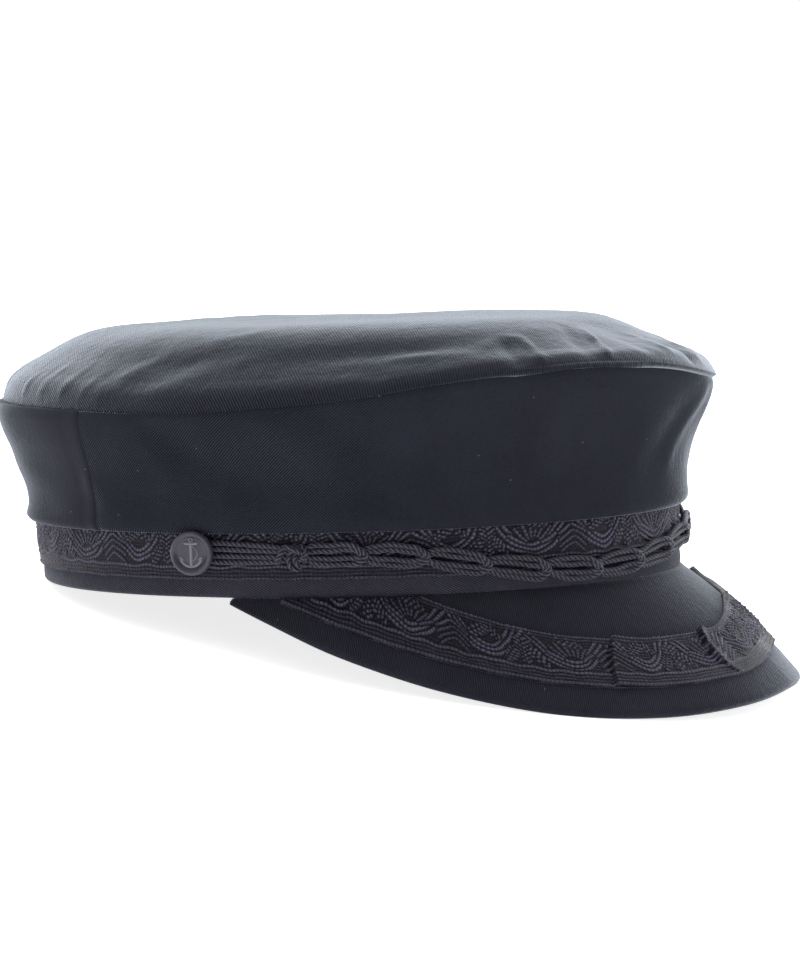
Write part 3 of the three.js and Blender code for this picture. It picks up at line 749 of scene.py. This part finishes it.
def band_braid():
    around_length = ARC_LENGTHS[-1] * 2
    share = np.linspace(0, 1, 1641)
    angle = np.interp(share * around_length - around_length / 2, ARC_LENGTHS, ARC_ANGLES)
    rows = np.r_[0, np.linspace(0.12, 14.6, 50), 16, 17.3, RIBBON_WIDTH]
    u, v = np.meshgrid(share * round(around_length / REPEAT) * REPEAT, rows, indexing="ij")
    relief = braid_height(*drawn_askew(u, v))
    face = ribbon_face(relief, np.minimum(v, RIBBON_WIDTH - v)) + 0.15 * ripple(u, v, 26, 31)
    face[-1], relief[-1] = face[0], relief[0]
    scallop = 0.2 * np.sin(2 * math.pi * u / 1.6) * np.exp(-v / 0.4)
    outer = band_point(angle[:, None], face, HEM + v + scallop)[:-1]
    inner = band_point(angle[:, None], CLEARANCE * 0.3, HEM + np.array([0, RIBBON_WIDTH]))[:-1]
    return shell("band_braid_ribbon", outer, inner, np.stack([u, v], -1), True, relief[:-1])


# Folds across the peak's ribbon where it is taken in round the curve: the angles where each one crosses the
# ribbon's outer and inner edge, how far it bends between them, how far it stands up, how far it runs out on
# its flat side, towards the front centre, and how much of it fades near the ribbon's outer edge
PLEATS = table_rows("outer inner bow height tail fade", (
    (36.1, 32.6, 0.6, 1.1, 7.0, 0.0),
    (12.2, 14.2, 2.4, 1.8, 3.6, 0.75),
    (-13.0, -12.0, 0.5, 1.2, 4.5, 0.6),
    (-37.5, -35.0, -0.6, 1.1, 6.0, 0.2),
))


def peak_braid():
    angle = np.linspace(-PEAK_END, PEAK_END, 1150)
    angle = angle[peak_length(angle) > PEAK_MARGIN + RIBBON_THICKNESS * 2]
    length = peak_length(angle)
    # The ribbon lies nearer the rim on the left, and isn't drawn in as much there
    left = smooth((12 - angle) / 24) * smooth((angle + 80) / 30)
    far = 1 - (PEAK_MARGIN + 4.5 * left) / length
    width = RIBBON_WIDTH * look_up(PEAK_TABLE, "braid", np.abs(angle))
    width = width * (1 + 0.1 * bell(angle + 42, 16) + 0.22 * left)
    full_near = far - width / length
    near = np.maximum(full_near, CLEARANCE * 4 / length)
    run = run_along(peak_point(angle, (far + full_near) / 2, 0))
    t = np.r_[0, 0.008, np.linspace(0.02, 0.98, 60), 0.992, 1]
    reach = (far - near)[:, None]
    along = far[:, None] - reach * t
    v = RIBBON_WIDTH * (far[:, None] - along) / (far - full_near)[:, None]
    u = np.broadcast_to(run[:, None], v.shape)
    relief = braid_height(*drawn_askew(u + 11, v))
    edge_gap = np.minimum(t, 1 - t) * reach * length[:, None]
    lift = ribbon_face(relief, edge_gap) + 0.15 * ripple(u, v, 24, 41)
    # On the left its inner edge is slack and stands up a little
    lift = lift + 1.5 * smooth((t - 0.3) / 0.65) * bell(angle[:, None] + 40, 18)
    for pleat in PLEATS:
        line = pleat["outer"] + (pleat["inner"] - pleat["outer"]) * t + pleat["bow"] * 4 * t * (1 - t)
        gap = (angle[:, None] - line) * np.sign(pleat["outer"]) * np.radians(1) * (HALF_LENGTH + 25)
        fray = 0.07 * ripple(v, u, 4, 43)
        tail = np.exp(-(np.abs(gap) / pleat["tail"]) ** 1.5)
        fold = np.where(gap > fray, bell(gap - fray, 0.42), tail)
        strength = 1 - pleat["fade"] * smooth((0.45 - t) / 0.4)
        lift = lift + (pleat["height"] * fold - 0.35 * bell(gap - 1.1, 0.6)) * strength
        # The ribbon's inner edge stands out a little where a fold ends
        along = along - 0.7 * strength * fold * smooth((t - 0.8) / 0.2) / length[:, None]
    end = np.minimum(np.arange(len(angle)), np.arange(len(angle))[::-1])[:, None]
    low = CLEARANCE * 0.4
    lift = low + (lift - low) * smooth(end / 3)
    outer = peak_point(angle[:, None], along, -lift)
    inner = peak_point(angle[:, None], along[:, [0, -1]], np.full((len(angle), 2), -low * 0.4))
    return shell("peak_braid_ribbon", outer, inner, np.stack([u, v], -1), False, relief)


# Peak

def peak_board():
    angle = np.linspace(-PEAK_END, PEAK_END, 380)[:, None]
    thickness = peak_thickness(angle)
    length = peak_length(angle)
    top = np.linspace(0, 1, 44)[None]
    turn = np.linspace(0, math.pi, 12)[None, 1:-1]
    radius = thickness / 2
    shoulder = np.maximum(1 - radius / length, 0)
    upper = peak_point(angle, top * shoulder, np.zeros_like(top * angle))
    nose = peak_point(angle, shoulder + radius / length * np.sin(turn), radius * (1 - np.cos(turn)))
    lower = peak_point(angle, top[:, ::-1] * shoulder, thickness + 0 * top)
    root = band_point(angle, -BAND_WALL * np.ones_like(angle), -ROOT_GAP)
    root_low = band_point(angle, -BAND_WALL * np.ones_like(angle), 0)
    root_low = root_low - np.array([0, 0, 1]) * (CLEARANCE + thickness * 0.8)[..., None]
    points = np.concatenate([root, upper, nose, lower, root_low], axis=1)
    steps, columns = points.shape[:2]
    quads = grid_quads(steps, columns, False, True)[0]
    uv_grid = np.stack([points[..., 0], points[..., 1] * 1.25], -1)
    down = np.r_[np.zeros(1 + top.size), np.linspace(0, 1, turn.size + 2)[1:-1], np.ones(top.size + 1)]
    uv_grid[..., 1] -= down * thickness * math.pi / 2
    uv = uv_grid.reshape(-1, 2)[quads.ravel()]
    quads, uv = close_ends(quads, uv, steps, columns, paired_section(columns), -1, uv_grid)
    return mesh_object("peak_cloth", points.reshape(-1, 3), quads, uv)


# Cord

PLY = 3
TWIST = 1.65
STRAND = 0.8
CORD_SIDES, CORD_STEP = 12, 0.3


def smooth_path(points, closed, step):
    """Even places on a smooth curve through some points, and its length"""
    points = np.asarray(points, float)
    count = len(points)
    out = []
    t = np.linspace(0, 1, 24, endpoint=False)[:, None]
    for i in range(count if closed else count - 1):
        near = np.arange(i - 1, i + 3)
        p0, p1, p2, p3 = points[near % count if closed else np.clip(near, 0, count - 1)]
        out.append(0.5 * (2 * p1 + (p2 - p0) * t + (2 * p0 - 5 * p1 + 4 * p2 - p3) * t ** 2
                          + (3 * p1 - p0 - 3 * p2 + p3) * t ** 3))
    out = np.concatenate(out + [points[:1] if closed else points[-1:]])
    run = run_along(out)
    at = np.linspace(0, run[-1], max(round(run[-1] / step), 8) + 1)
    even = np.stack([np.interp(at, run, out[:, k]) for k in range(3)], -1)
    return (even[:-1] if closed else even), run[-1]


def path_direction(path, closed):
    return unit(np.roll(path, -1, 0) - np.roll(path, 1, 0) if closed else np.gradient(path, axis=0))


def twisted_cord(points, closed, radius=STRAND):
    """Places, faces, uv and relief of a cord of twisted plies along points"""
    path, length = smooth_path(points, closed, CORD_STEP)
    count = len(path)
    ahead = path_direction(path, closed)
    out = unit(path * [1, 1, 0])
    out = unit(out - ahead * (out * ahead).sum(1, keepdims=True))
    across = np.cross(ahead, out)
    turns = round(length / (TWIST * PLY)) if closed else length / (TWIST * PLY)
    share = np.arange(count) / (count if closed else count - 1)
    turn = 2 * math.pi * np.arange(CORD_SIDES) / CORD_SIDES
    lobes = np.abs(np.cos(PLY / 2 * (turn[None] - 2 * math.pi * turns * share[:, None])))
    size = radius * (0.6 + 0.44 * lobes ** 0.65)
    place = path[:, None] + size[..., None] * (
        out[:, None] * np.cos(turn)[None, :, None] + across[:, None] * np.sin(turn)[None, :, None])
    quads, spots = grid_quads(count, CORD_SIDES, closed, True)
    uv = spots / [count, CORD_SIDES] * [length, 2 * math.pi * radius]
    if not closed:
        quads, uv = close_ends(quads, uv, count, CORD_SIDES, fan_section(0, 1, CORD_SIDES - 2), 1)
    return place.reshape(-1, 3), quads, uv, lobes.ravel()


def cord_point(arc, up, out):
    """Point of the cord: up from its middle line and out from the ribbon, further out where it hangs loose at
    the front"""
    angle = angle_at(arc)
    height = RIBBON_TOP * look_up(CORD_TABLE, "height", angle)
    loose = 0.4 * bell(angle + 10, 10)
    return band_point(angle, RIBBON_FACE + out + loose, height + up)


def cord_loop(start, seed):
    """Two cords side by side round one loop of the chain: it starts behind the loop before it and ends in
    front, wrapped round the next one's start"""
    random = np.random.default_rng(seed)
    rows = ((0.06, 0.5, 0.0), (0.24, 0.86, 0.1), (0.5, 1.0, 0.2), (0.76, 0.98, 0.4), (0.93, 0.84, 1.0))
    low = CLEARANCE + STRAND
    cords = []
    turn = random.uniform(-0.25, 0.25)
    for gap in (-STRAND, STRAND):
        spread = CORD_SPREAD - 0.55 + gap
        wobble = random.uniform(-0.28, 0.28, 10)
        upper, lower = ([
            cord_point(start - along * CORD_PITCH, w + side * up * spread + turn, low + out * CORD_LIFT)
            for (along, up, out), w in zip(rows, wobble[first:])] for side, first in ((1, 0), (-1, 5)))
        tip = cord_point(start - 1.04 * CORD_PITCH - gap * 0.9, wobble[0], low + CORD_LIFT * 1.15)
        tail = cord_point(start + 0.04 * CORD_PITCH + gap * 0.9, 0, low)
        cords.append(twisted_cord([tail, *upper, tip, *lower[::-1]], True))
    return cords


def cord_lead(knot, end):
    """Doubled cord from the first loop round the button's shank and back"""
    way = np.sign(end - knot)
    low = CLEARANCE + STRAND
    cords = []
    for strand in (0, 1):
        bow = SHANK_RADIUS + 2 * CLEARANCE + STRAND + strand * 1.8
        line = 0.95 + 1.75 * strand
        legs = [
            (knot - way * 2, 0.3 + 0.5 * strand, CORD_LIFT * 0.7),
            (knot + (end - knot) * 0.1, 0.75 + 0.8 * strand, CORD_LIFT * 0.35),
            (knot + (end - knot) * 0.28, 0.9 + 1.45 * strand, CORD_LIFT * 0.1),
            (knot + (end - knot) * 0.5, line, 0),
            (end - way * BUTTON_RADIUS * 1.1, line * 1.08, 0),
            (end - way * BUTTON_RADIUS * 0.5, line, 0),
            (end, bow, 0),
            (end + way * bow * 0.7, bow * 0.7, 0),
        ]
        upper, lower = ([cord_point(a, 0.15 + side * up, low + out) for a, up, out in legs]
                        for side in (1, -1))
        cords.append(twisted_cord([*upper, cord_point(end + way * bow, 0, low), *lower[::-1]], False))
    return cords


def cord_knot(at, way):
    """Knot of one cord that passes over and under itself, and a turn round the ends of the leads beside it"""
    cords = []
    for shift, size in ((0, 1.12), (1.5, 0.8)):
        points = []
        for turn in np.linspace(0, 2 * math.pi, 22, endpoint=False):
            along = 1.15 * size * (math.sin(turn) + 2 * math.sin(2 * turn))
            up = 1.2 * size * (math.cos(turn) - 2 * math.cos(2 * turn))
            out = CLEARANCE + STRAND * 2.3 + 0.95 * math.sin(3 * turn) + 0.5 * (shift > 0)
            points.append(cord_point(at - way * (along + shift), up - 0.2, out))
        cords.append(twisted_cord(points, True, STRAND * 0.92))
    points = []
    for turn in np.linspace(0, 2 * math.pi, 10, endpoint=False):
        up = 2.4 * math.cos(turn)
        points.append(cord_point(at + way * (4.2 - 0.55 * up), up, CLEARANCE + 1.6 + 1.3 * math.sin(turn)))
    return cords + [twisted_cord(points, True)]


def cord_chain():
    end = float(arc_at(BUTTON_ANGLE))
    count = round(2 * (end - CORD_LEAD) / CORD_PITCH)
    first = count * CORD_PITCH / 2
    cords = []
    for i in range(count):
        cords += cord_loop(first - i * CORD_PITCH, i)
    for way in (1, -1):
        cords += cord_lead(way * first, way * end)
        cords += cord_knot(way * (first + 1.5), way)
    return mesh_object("cord_chain_twisted", *merged(cords))


# Buttons

def lathe(profile, sides):
    """Places and faces of a profile of (radius, height) turned round the Z axis. It starts and ends on the
    axis, with an even number of sides"""
    profile = np.asarray(profile, float)
    turn = 2 * math.pi * np.arange(sides) / sides
    radius, height = profile[1:-1, 0], profile[1:-1, 1]
    rows = len(height)
    place = np.stack([radius[None] * np.cos(turn)[:, None], radius[None] * np.sin(turn)[:, None],
                      np.broadcast_to(height, (sides, rows))], -1)
    quads, spots = grid_quads(sides, rows, True, False)
    uv = np.stack([spots[:, 0] / sides * 40, spots[:, 1] * 0.5], -1)
    start, end = sides * rows, sides * rows + 1
    fans = []
    for i in range(0, sides, 2):
        near = [(i + k) % sides * rows for k in range(3)]
        fans += [[near[2], near[1], near[0], start], [*(at + rows - 1 for at in near), end]]
    place = np.concatenate([place.reshape(-1, 3), [[0, 0, profile[0, 1]], [0, 0, profile[-1, 1]]]])
    uv = np.concatenate([uv, np.zeros((4 * len(fans), 2))])
    return place, np.concatenate([quads, fans]), uv, np.zeros(len(place))


STROKE_SIDES, STROKE_STEP = 10, 0.12


def raised_stroke(points, width, height, base, closed=False):
    """Half-round ridge along flat points"""
    path, _ = smooth_path([(x, y, 0) for x, y in points], closed, STROKE_STEP)
    across = np.cross(path_direction(path, closed), [0, 0, 1.0])
    turn = np.linspace(0, 2 * math.pi, STROKE_SIDES, endpoint=False)
    count = len(path)
    ends = np.ones((count, 1))
    if not closed:
        gap = np.minimum(np.arange(count), np.arange(count)[::-1])[:, None] * STROKE_STEP
        taper = np.clip(gap / (width / 2), 0, 1)
        ends = np.sqrt(taper * (2 - taper)) + 0.02
    side, up = width / 2 * np.cos(turn) * ends, height * np.sin(turn) * ends
    place = path[:, None] + across[:, None] * side[..., None] + np.array([0, 0, 1.0]) * up[..., None]
    place[..., 2] += base
    quads, spots = grid_quads(count, STROKE_SIDES, closed, True)
    uv = spots * 0.1
    if not closed:
        quads, uv = close_ends(quads, uv, count, STROKE_SIDES, fan_section(0, 1, STROKE_SIDES - 2), 1)
    return place.reshape(-1, 3), quads, uv, np.ones(place.size // 3)


def anchor(base):
    """Anchor of the traditional kind with a line looped beside it"""
    t = np.linspace(0, 1, 26)
    arms = [(3.5 * math.cos(a), -0.5 + 3.5 * math.sin(a)) for a in np.radians(np.linspace(200, 340, 17))]
    eye = [(0.62 * math.cos(a), 4.05 + 0.5 * math.sin(a)) for a in 2 * math.pi * t[:-1]]
    line = [(0.2 + 1.75 * math.sin(3.0 * a), 2.6 - 5.0 * a) for a in t]
    fluke = ((3.6, -0.9), (2.9, -1.75), (2.35, -1.55))
    return [
        raised_stroke([(0, 3.5), (0, 1), (0, -1), (0, -3.9)], 1.15, 0.62, base),
        raised_stroke([(-2.3, 3.15), (-0.9, 2.95), (0.9, 2.95), (2.3, 3.15)], 1.0, 0.6, base),
        raised_stroke(arms, 0.95, 0.55, base),
        *(raised_stroke([(side * x, y) for x, y in fluke], 0.9, 0.5, base) for side in (-1, 1)),
        raised_stroke(eye, 0.4, 0.4, base, closed=True),
        raised_stroke(line, 0.42, 0.34, base),
    ]


def button(name, side):
    rim, edge, thick = BUTTON_RIM, BUTTON_RADIUS, BUTTON_THICKNESS
    floor = thick - BUTTON_DISH * 1.35
    turn = np.linspace(-0.5, 0.5, 15) * math.pi
    round_edge = [(edge - rim * 0.55 + rim * 0.55 * math.cos(a), thick * 0.5 + thick * 0.5 * math.sin(a))
                  for a in turn]
    inner_edge = [(edge - rim * 0.75, thick - 0.06), (edge - rim, thick - 0.35),
                  (edge - rim * 1.2, floor + 0.12), (edge - rim * 1.5, floor),
                  (edge - rim * 1.8, floor + 0.04)]
    shank_end = CLEARANCE - SHANK_LENGTH
    profile = [(0, shank_end), (SHANK_RADIUS, shank_end), (SHANK_RADIUS, -0.5), (SHANK_RADIUS * 1.3, 0),
               *round_edge, *inner_edge, (2.5, floor + 0.12), (0, floor + 0.16)]
    points, quads, uv, raised = merged([lathe(profile, 72), *anchor(floor + 0.1)])
    angle = side * BUTTON_ANGLE
    foot = band_point(angle, RIBBON_FACE + SHANK_LENGTH, BUTTON_HEIGHT)
    left, right = (band_point(angle + step, RIBBON_FACE, BUTTON_HEIGHT) for step in (1, -1))
    right = unit(right - left)
    out = unit(np.cross(right, [0, 0, 1.0]))
    up = np.cross(out, right)
    turned = math.radians(side * BUTTON_TURN)
    axis_right = right * math.cos(turned) - out * math.sin(turned)
    axis_out = right * math.sin(turned) + out * math.cos(turned)
    placed = points[:, :1] * axis_right + points[:, 1:2] * up + points[:, 2:] * axis_out + foot
    return mesh_object(name, placed, quads, uv, raised)


# Materials

def fill(node, inputs):
    """Sets or joins inputs of a shader node, by name or number: each a value or another node's output"""
    for key, value in inputs.items():
        if isinstance(value, bpy.types.NodeSocket):
            node.id_data.links.new(value, node.inputs[key])
        else:
            node.inputs[key].default_value = value
    return node


def add_node(tree, kind, inputs=None, **settings):
    node = tree.nodes.new(kind)
    for key, value in settings.items():
        setattr(node, key, value)
    return fill(node, inputs or {})


class Nodes:
    """Short way to make and join a material's shader nodes"""

    def __init__(self, name):
        self.material = bpy.data.materials.new(name)
        self.material.use_nodes = True
        self.tree = self.material.node_tree
        self.tree.nodes.clear()
        self.shader = self.add("ShaderNodeBsdfPrincipled")
        self.add("ShaderNodeOutputMaterial", {"Surface": self.shader.outputs["BSDF"]})

    def add(self, kind, inputs=None, **settings):
        return add_node(self.tree, kind, inputs, **settings)

    def math(self, operation, *values):
        return self.add("ShaderNodeMath", dict(enumerate(values)), operation=operation).outputs[0]

    def total(self, *terms):
        """Sum of outputs, each with its weight and, if it has one, a number taken off it first"""
        result = None
        for value, weight, *less in terms:
            for number in less:
                value = self.math("SUBTRACT", value, number)
            if weight != 1:
                value = self.math("MULTIPLY", value, weight)
            result = self.math("ADD", result, value) if result else value
        return result

    def uv(self):
        return self.add("ShaderNodeUVMap", uv_map="cloth").outputs["UV"]

    def relief(self):
        return self.add("ShaderNodeAttribute", attribute_name="relief").outputs["Fac"]

    def place(self):
        return self.add("ShaderNodeTexCoord").outputs["Object"]

    def mapped(self, vector, rotation=0.0, scale=(1, 1, 1)):
        inputs = {"Vector": vector, "Rotation": (0, 0, rotation), "Scale": scale}
        return self.add("ShaderNodeMapping", inputs).outputs["Vector"]

    def wave(self, vector, turn, period, distortion):
        """Waves of some period across a direction, turned by some degrees"""
        inputs = {"Vector": self.mapped(vector, math.radians(turn)), "Scale": 2 * math.pi / 20 / period,
                  "Distortion": distortion, "Detail": 1.0, "Detail Scale": 3.0}
        return self.add("ShaderNodeTexWave", inputs, wave_type="BANDS", bands_direction="X").outputs["Fac"]

    def noise(self, vector, size, detail=3.0, roughness=0.55):
        inputs = {"Vector": vector, "Scale": 1 / size, "Detail": detail, "Roughness": roughness}
        return self.add("ShaderNodeTexNoise", inputs).outputs["Fac"]

    def specks(self, vector, spacing, size):
        """1 inside sparse small specks"""
        cells = self.add("ShaderNodeTexVoronoi", {"Vector": vector, "Scale": 1 / spacing})
        return self.math("LESS_THAN", cells.outputs["Distance"], size / spacing)

    def mix(self, factor, low, high):
        """Mix of two colours, the first of which may be another node's output"""
        low = (*low, 1) if isinstance(low, tuple) else low
        return self.add("ShaderNodeMix", {0: factor, 6: low, 7: (*high, 1)}, data_type="RGBA").outputs[2]

    def ramp(self, value, low, high, at_low, at_high):
        inputs = {"Value": value, "From Min": low, "From Max": high, "To Min": at_low, "To Max": at_high}
        return self.add("ShaderNodeMapRange", inputs, interpolation_type="SMOOTHSTEP").outputs["Result"]

    def bump(self, height, distance):
        bump = self.add("ShaderNodeBump", {"Height": height, "Distance": distance})
        fill(self.shader, {"Normal": bump.outputs["Normal"]})

    def finish(self, colour, roughness, sheen, sheen_roughness, specular, tint=(0.85, 0.91, 1.0)):
        fill(self.shader, {
            "Base Color": colour, "Roughness": roughness, "Sheen Weight": sheen, "Sheen Tint": (*tint, 1),
            "Sheen Roughness": sheen_roughness, "Specular IOR Level": specular})
        return self.material


def twill(name, dark, light, wale, direction, sheen, spread, depth, calm=None):
    """Twill cloth: raised slanting wales, woven yarns across them, uneven dye and sparse lint. calm says
    where the nap lies flat and hides the weave: the axis, two places on it and how flat it is at each"""
    n = Nodes(name)
    uv = n.uv()
    wales = n.wave(uv, -direction, wale, 0.6)
    yarns = n.wave(uv, 62 - direction, wale * 0.8, 0.4)
    patchy = n.noise(uv, 28)
    slanted = n.mapped(uv, -math.radians(direction))
    fine = n.noise(n.mapped(slanted, scale=(2.2, 0.5, 1)), 1.0, 4.0, 0.7)
    weave = n.math("MULTIPLY", wales, n.math("ADD", n.math("MULTIPLY", yarns, 0.35), 0.65))
    if calm:
        axis, *places = calm
        place = n.add("ShaderNodeSeparateXYZ", {0: uv}).outputs[axis]
        if axis == "X":
            place = n.math("ABSOLUTE", place)
        flat = n.ramp(place, *places)
        weave = n.add("ShaderNodeMix", {0: flat, 2: weave, 3: 0.42}, data_type="FLOAT").outputs[0]
    colour = n.mix(n.total((weave, 0.85), (fine, 0.5, 0.4), (patchy, 0.35, 0.5)), dark, light)
    lint = n.specks(n.mapped(uv, 0.7, (0.6, 1.3, 1)), 7.0, 0.2)
    colour = n.mix(n.math("MULTIPLY", lint, 0.3), colour, (0.3, 0.32, 0.36))
    nap = n.total((fine, 0.8), (n.noise(uv, 2.6, 4.0, 0.65), 1.9))
    n.bump(n.math("ADD", weave, nap), depth)
    return n.finish(colour, 0.9, sheen, spread, 0.04)


def ribbon_material():
    """Woven ribbon: raised cords of twisted yarn over a ribbed ground, with painted shade in its hollows and
    painted highlights on its cords
    """
    n = Nodes("woven_ribbon")
    uv = n.uv()
    ribs, yarns = n.wave(uv, 90, 0.6, 0.3), n.wave(uv, 35, 0.55, 0.8)
    fine = n.noise(uv, 0.5, 4.0, 0.7)
    # Painted shade and highlights: the colour runs from near black in the pattern's hollows to pale on its
    # cords, by the relief, with a little fine grain
    painted_shade_and_grain = n.total((n.math("POWER", n.relief(), 1.9), 1), (fine, 0.5, 0.45))
    colour = n.mix(painted_shade_and_grain, (0.0014, 0.0013, 0.0024), (0.155, 0.146, 0.21))
    n.bump(n.total((ribs, 0.5), (yarns, 0.6), (fine, 0.6)), 0.0001)
    return n.finish(colour, 0.4, 0.2, 0.2, 0.1, (0.93, 0.9, 1.0))


def cord_material():
    """Smooth twisted yarn, with painted shade between its plies and painted highlights on them"""
    n = Nodes("twisted_cord")
    uv = n.uv()
    strands = n.wave(uv, 50, 0.28, 0.6)
    fine = n.noise(uv, 0.4, 3.0, 0.7)
    # Painted shade and highlights: near black between the plies and pale on their crests, with a little fine
    # grain
    painted_shade_and_grain = n.total((n.math("POWER", n.relief(), 3.5), 1), (fine, 0.4, 0.45))
    colour = n.mix(painted_shade_and_grain, (0.001, 0.001, 0.0016), (0.145, 0.139, 0.185))
    n.bump(n.math("ADD", strands, fine), 0.00006)
    return n.finish(colour, 0.34, 0.2, 0.22, 0.14)


def button_material():
    """Moulded plastic, dull and a little worn, with its raised anchor painted paler as a painted highlight"""
    n = Nodes("button_plastic")
    place = n.place()
    fine = n.noise(place, 0.0006, 3.0, 0.7)
    worn = n.total((n.noise(place, 0.004, 4.0), 0.6), (fine, 0.3))
    colour = n.mix(worn, (0.024, 0.0215, 0.031), (0.072, 0.065, 0.09))
    # Painted highlight: the raised anchor and its line are painted paler than the disc
    colour = n.mix(n.math("MULTIPLY", n.relief(), 0.55), colour, (0.25, 0.23, 0.3))
    n.bump(fine, 0.00004)
    return n.finish(colour, 0.3, 0.0, 0.3, 0.35)


def floor_material():
    n = Nodes("studio_floor")
    colour = n.mix(n.noise(n.place(), 0.3), (0.86, 0.86, 0.87), (0.88, 0.88, 0.885))
    fill(n.shader, {"Emission Color": (1, 1, 1, 1), "Emission Strength": 0.8})
    return n.finish(colour, 0.9, 0.0, 0.4, 0.1)


# Build

def dress(piece, material, slot, *nodes):
    piece.data.materials.append(material)
    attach(piece, "root")
    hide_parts(*nodes)


side_twill = twill("side_twill", (0.004, 0.0045, 0.007), (0.035, 0.0366, 0.05), 0.68, 52, 1.0, 0.21, 0.0001,
                   ("X", 55, 175, 0.85, 0))
top_twill = twill("top_twill", (0.002, 0.0022, 0.0035), (0.038, 0.0402, 0.0525), 0.74, 119, 1.0, 0.32,
                  0.00014, ("Y", -95, 10, 0.5, 0))
back_twill = twill("back_twill", (0.013, 0.0132, 0.018), (0.0265, 0.027, 0.0365), 0.62, 40, 0.55, 0.25,
                   0.00007, ("X", 55, 175, 0.75, 0.75))
# Painted light: the hem is the crown's cloth, painted about twice as light to stand in for the light that the
# floor throws on it
hem_twill = twill("hem_twill", (0.0085, 0.0083, 0.0115), (0.078, 0.0755, 0.1), 0.64, 122, 0.5, 0.25, 0.0001)
peak_twill = twill("peak_twill", (0.006, 0.006, 0.0086), (0.042, 0.0412, 0.057), 0.78, 125, 0.8, 0.27, 0.0001,
                   ("X", 55, 175, 0.2, 0.2))
ribbon_weave = ribbon_material()
button_plastic = button_material()

foot, slant = REAR_SEAM_ANGLE, REAR_SEAM_SLANT
tucked = math.degrees(TUCK / HALF_WIDTH)
dress(headband(), hem_twill, "hem_twill", "headband")
dress(band_braid(), ribbon_weave, "ribbon", "band_braid")
dress(side_panel("crown_side_cloth", -foot - tucked, foot + tucked, (-slant, slant), 420, True),
      side_twill, "crown_twill", "crown_side")
dress(side_panel("crown_back_cloth", foot, 360 - foot, (slant, -slant), 200, False),
      back_twill, "crown_twill", "crown_back")
dress(crown_top(), top_twill, "crown_twill", "crown_top")
dress(peak_board(), peak_twill, "peak_twill", "peak")
dress(peak_braid(), ribbon_weave, "ribbon", "peak_braid")
dress(cord_chain(), cord_material(), "cord", "cord_chain")
dress(button("button_right_disc", 1), button_plastic, "button", "button_right")
dress(button("button_left_disc", -1), button_plastic, "button", "button_left")


# Studio

def studio_floor():
    half = 6.0
    mesh = bpy.data.meshes.new("studio_floor")
    corners = [(-half, -half, 0), (half, -half, 0), (half, half, 0), (-half, half, 0)]
    mesh.from_pydata(corners, [], [(0, 1, 2, 3)])
    made = linked("studio_floor", mesh)
    mesh.materials.append(floor_material())


def soft_light(name, place, aim, size, power, colour):
    light = bpy.data.lights.new(name, "AREA")
    light.shape = "RECTANGLE"
    light.size, light.size_y = size
    light.energy = power
    light.color = colour
    made = linked(name, light)
    made.location = place
    made.rotation_mode = "QUATERNION"
    made.rotation_quaternion = (Vector(aim) - Vector(place)).to_track_quat("-Z", "Y")


def studio_light():
    world = bpy.data.worlds.new("studio")
    bpy.context.scene.world = world
    world.use_nodes = True
    tree = world.node_tree
    # Soft light all round, strongest from behind and above and weak from the side that the photograph was
    # taken from, in front of a plain white backdrop
    direction = add_node(tree, "ShaderNodeTexCoord").outputs["Generated"]
    facing = add_node(tree, "ShaderNodeVectorMath", {0: direction, 1: (0.92, 0.34, 0.2)},
                      operation="DOT_PRODUCT").outputs["Value"]
    spread = add_node(tree, "ShaderNodeMapRange", {
        "Value": facing, "From Min": -0.4, "From Max": 0.9, "To Min": 0.38, "To Max": 2.5},
        interpolation_type="SMOOTHSTEP").outputs["Result"]
    glow = fill(tree.nodes["Background"], {"Color": (0.96, 0.98, 1, 1), "Strength": spread})
    backdrop = add_node(tree, "ShaderNodeBackground", {"Color": (1, 1, 1, 1), "Strength": 1.05})
    seen = add_node(tree, "ShaderNodeLightPath").outputs["Is Camera Ray"]
    choice = add_node(tree, "ShaderNodeMixShader", {"Fac": seen, 1: glow.outputs[0], 2: backdrop.outputs[0]})
    fill(tree.nodes["World Output"], {"Surface": choice.outputs[0]})
    aim = (0, 0, 0.06)
    soft_light("top_light", (0.35, 0.1, 1.3), aim, (1.6, 1.6), 10, (0.93, 0.97, 1))
    soft_light("back_light", (1.4, 0.6, 0.9), aim, (1.6, 1.0), 14, (0.95, 0.98, 1))
    soft_light("front_light", (1.55, -1.15, 0.3), aim, (0.9, 0.9), 8, (0.97, 0.98, 1))


def photo_camera():
    """Camera at the photograph's view, worked out in the cap frame"""
    turn, raised, roll = (math.radians(VIEW[k]) for k in ("around", "raised", "roll"))
    flat = math.cos(raised)
    back = np.array([-math.sin(turn) * flat, -math.cos(turn) * flat, math.sin(raised)])
    right = unit(np.cross(-back, [0, 0, 1.0]))
    up = np.cross(right, -back)
    place = np.array([0, 0, VIEW["up"]]) + back * VIEW["distance"] + right * VIEW["across"]
    rolled_right = right * math.cos(roll) + up * math.sin(roll)
    rolled_up = -right * math.sin(roll) + up * math.cos(roll)
    camera = bpy.data.cameras.new("photo_camera")
    camera.sensor_width = SENSOR
    camera.lens = SENSOR * PHOTO_FOCAL / PHOTO_HEIGHT
    made = linked("photo_camera", camera)
    axes = np.stack([TILT @ rolled_right, TILT @ rolled_up, TILT @ back], -1)
    pose = Matrix(axes.tolist()).to_4x4()
    pose.translation = Vector(lay_down(place))
    made.matrix_world = pose
    camera.clip_start, camera.clip_end = 0.05, 50
    bpy.context.scene.camera = made


studio_floor()
studio_light()
photo_camera()
bpy.context.scene.view_settings.view_transform = "Standard"
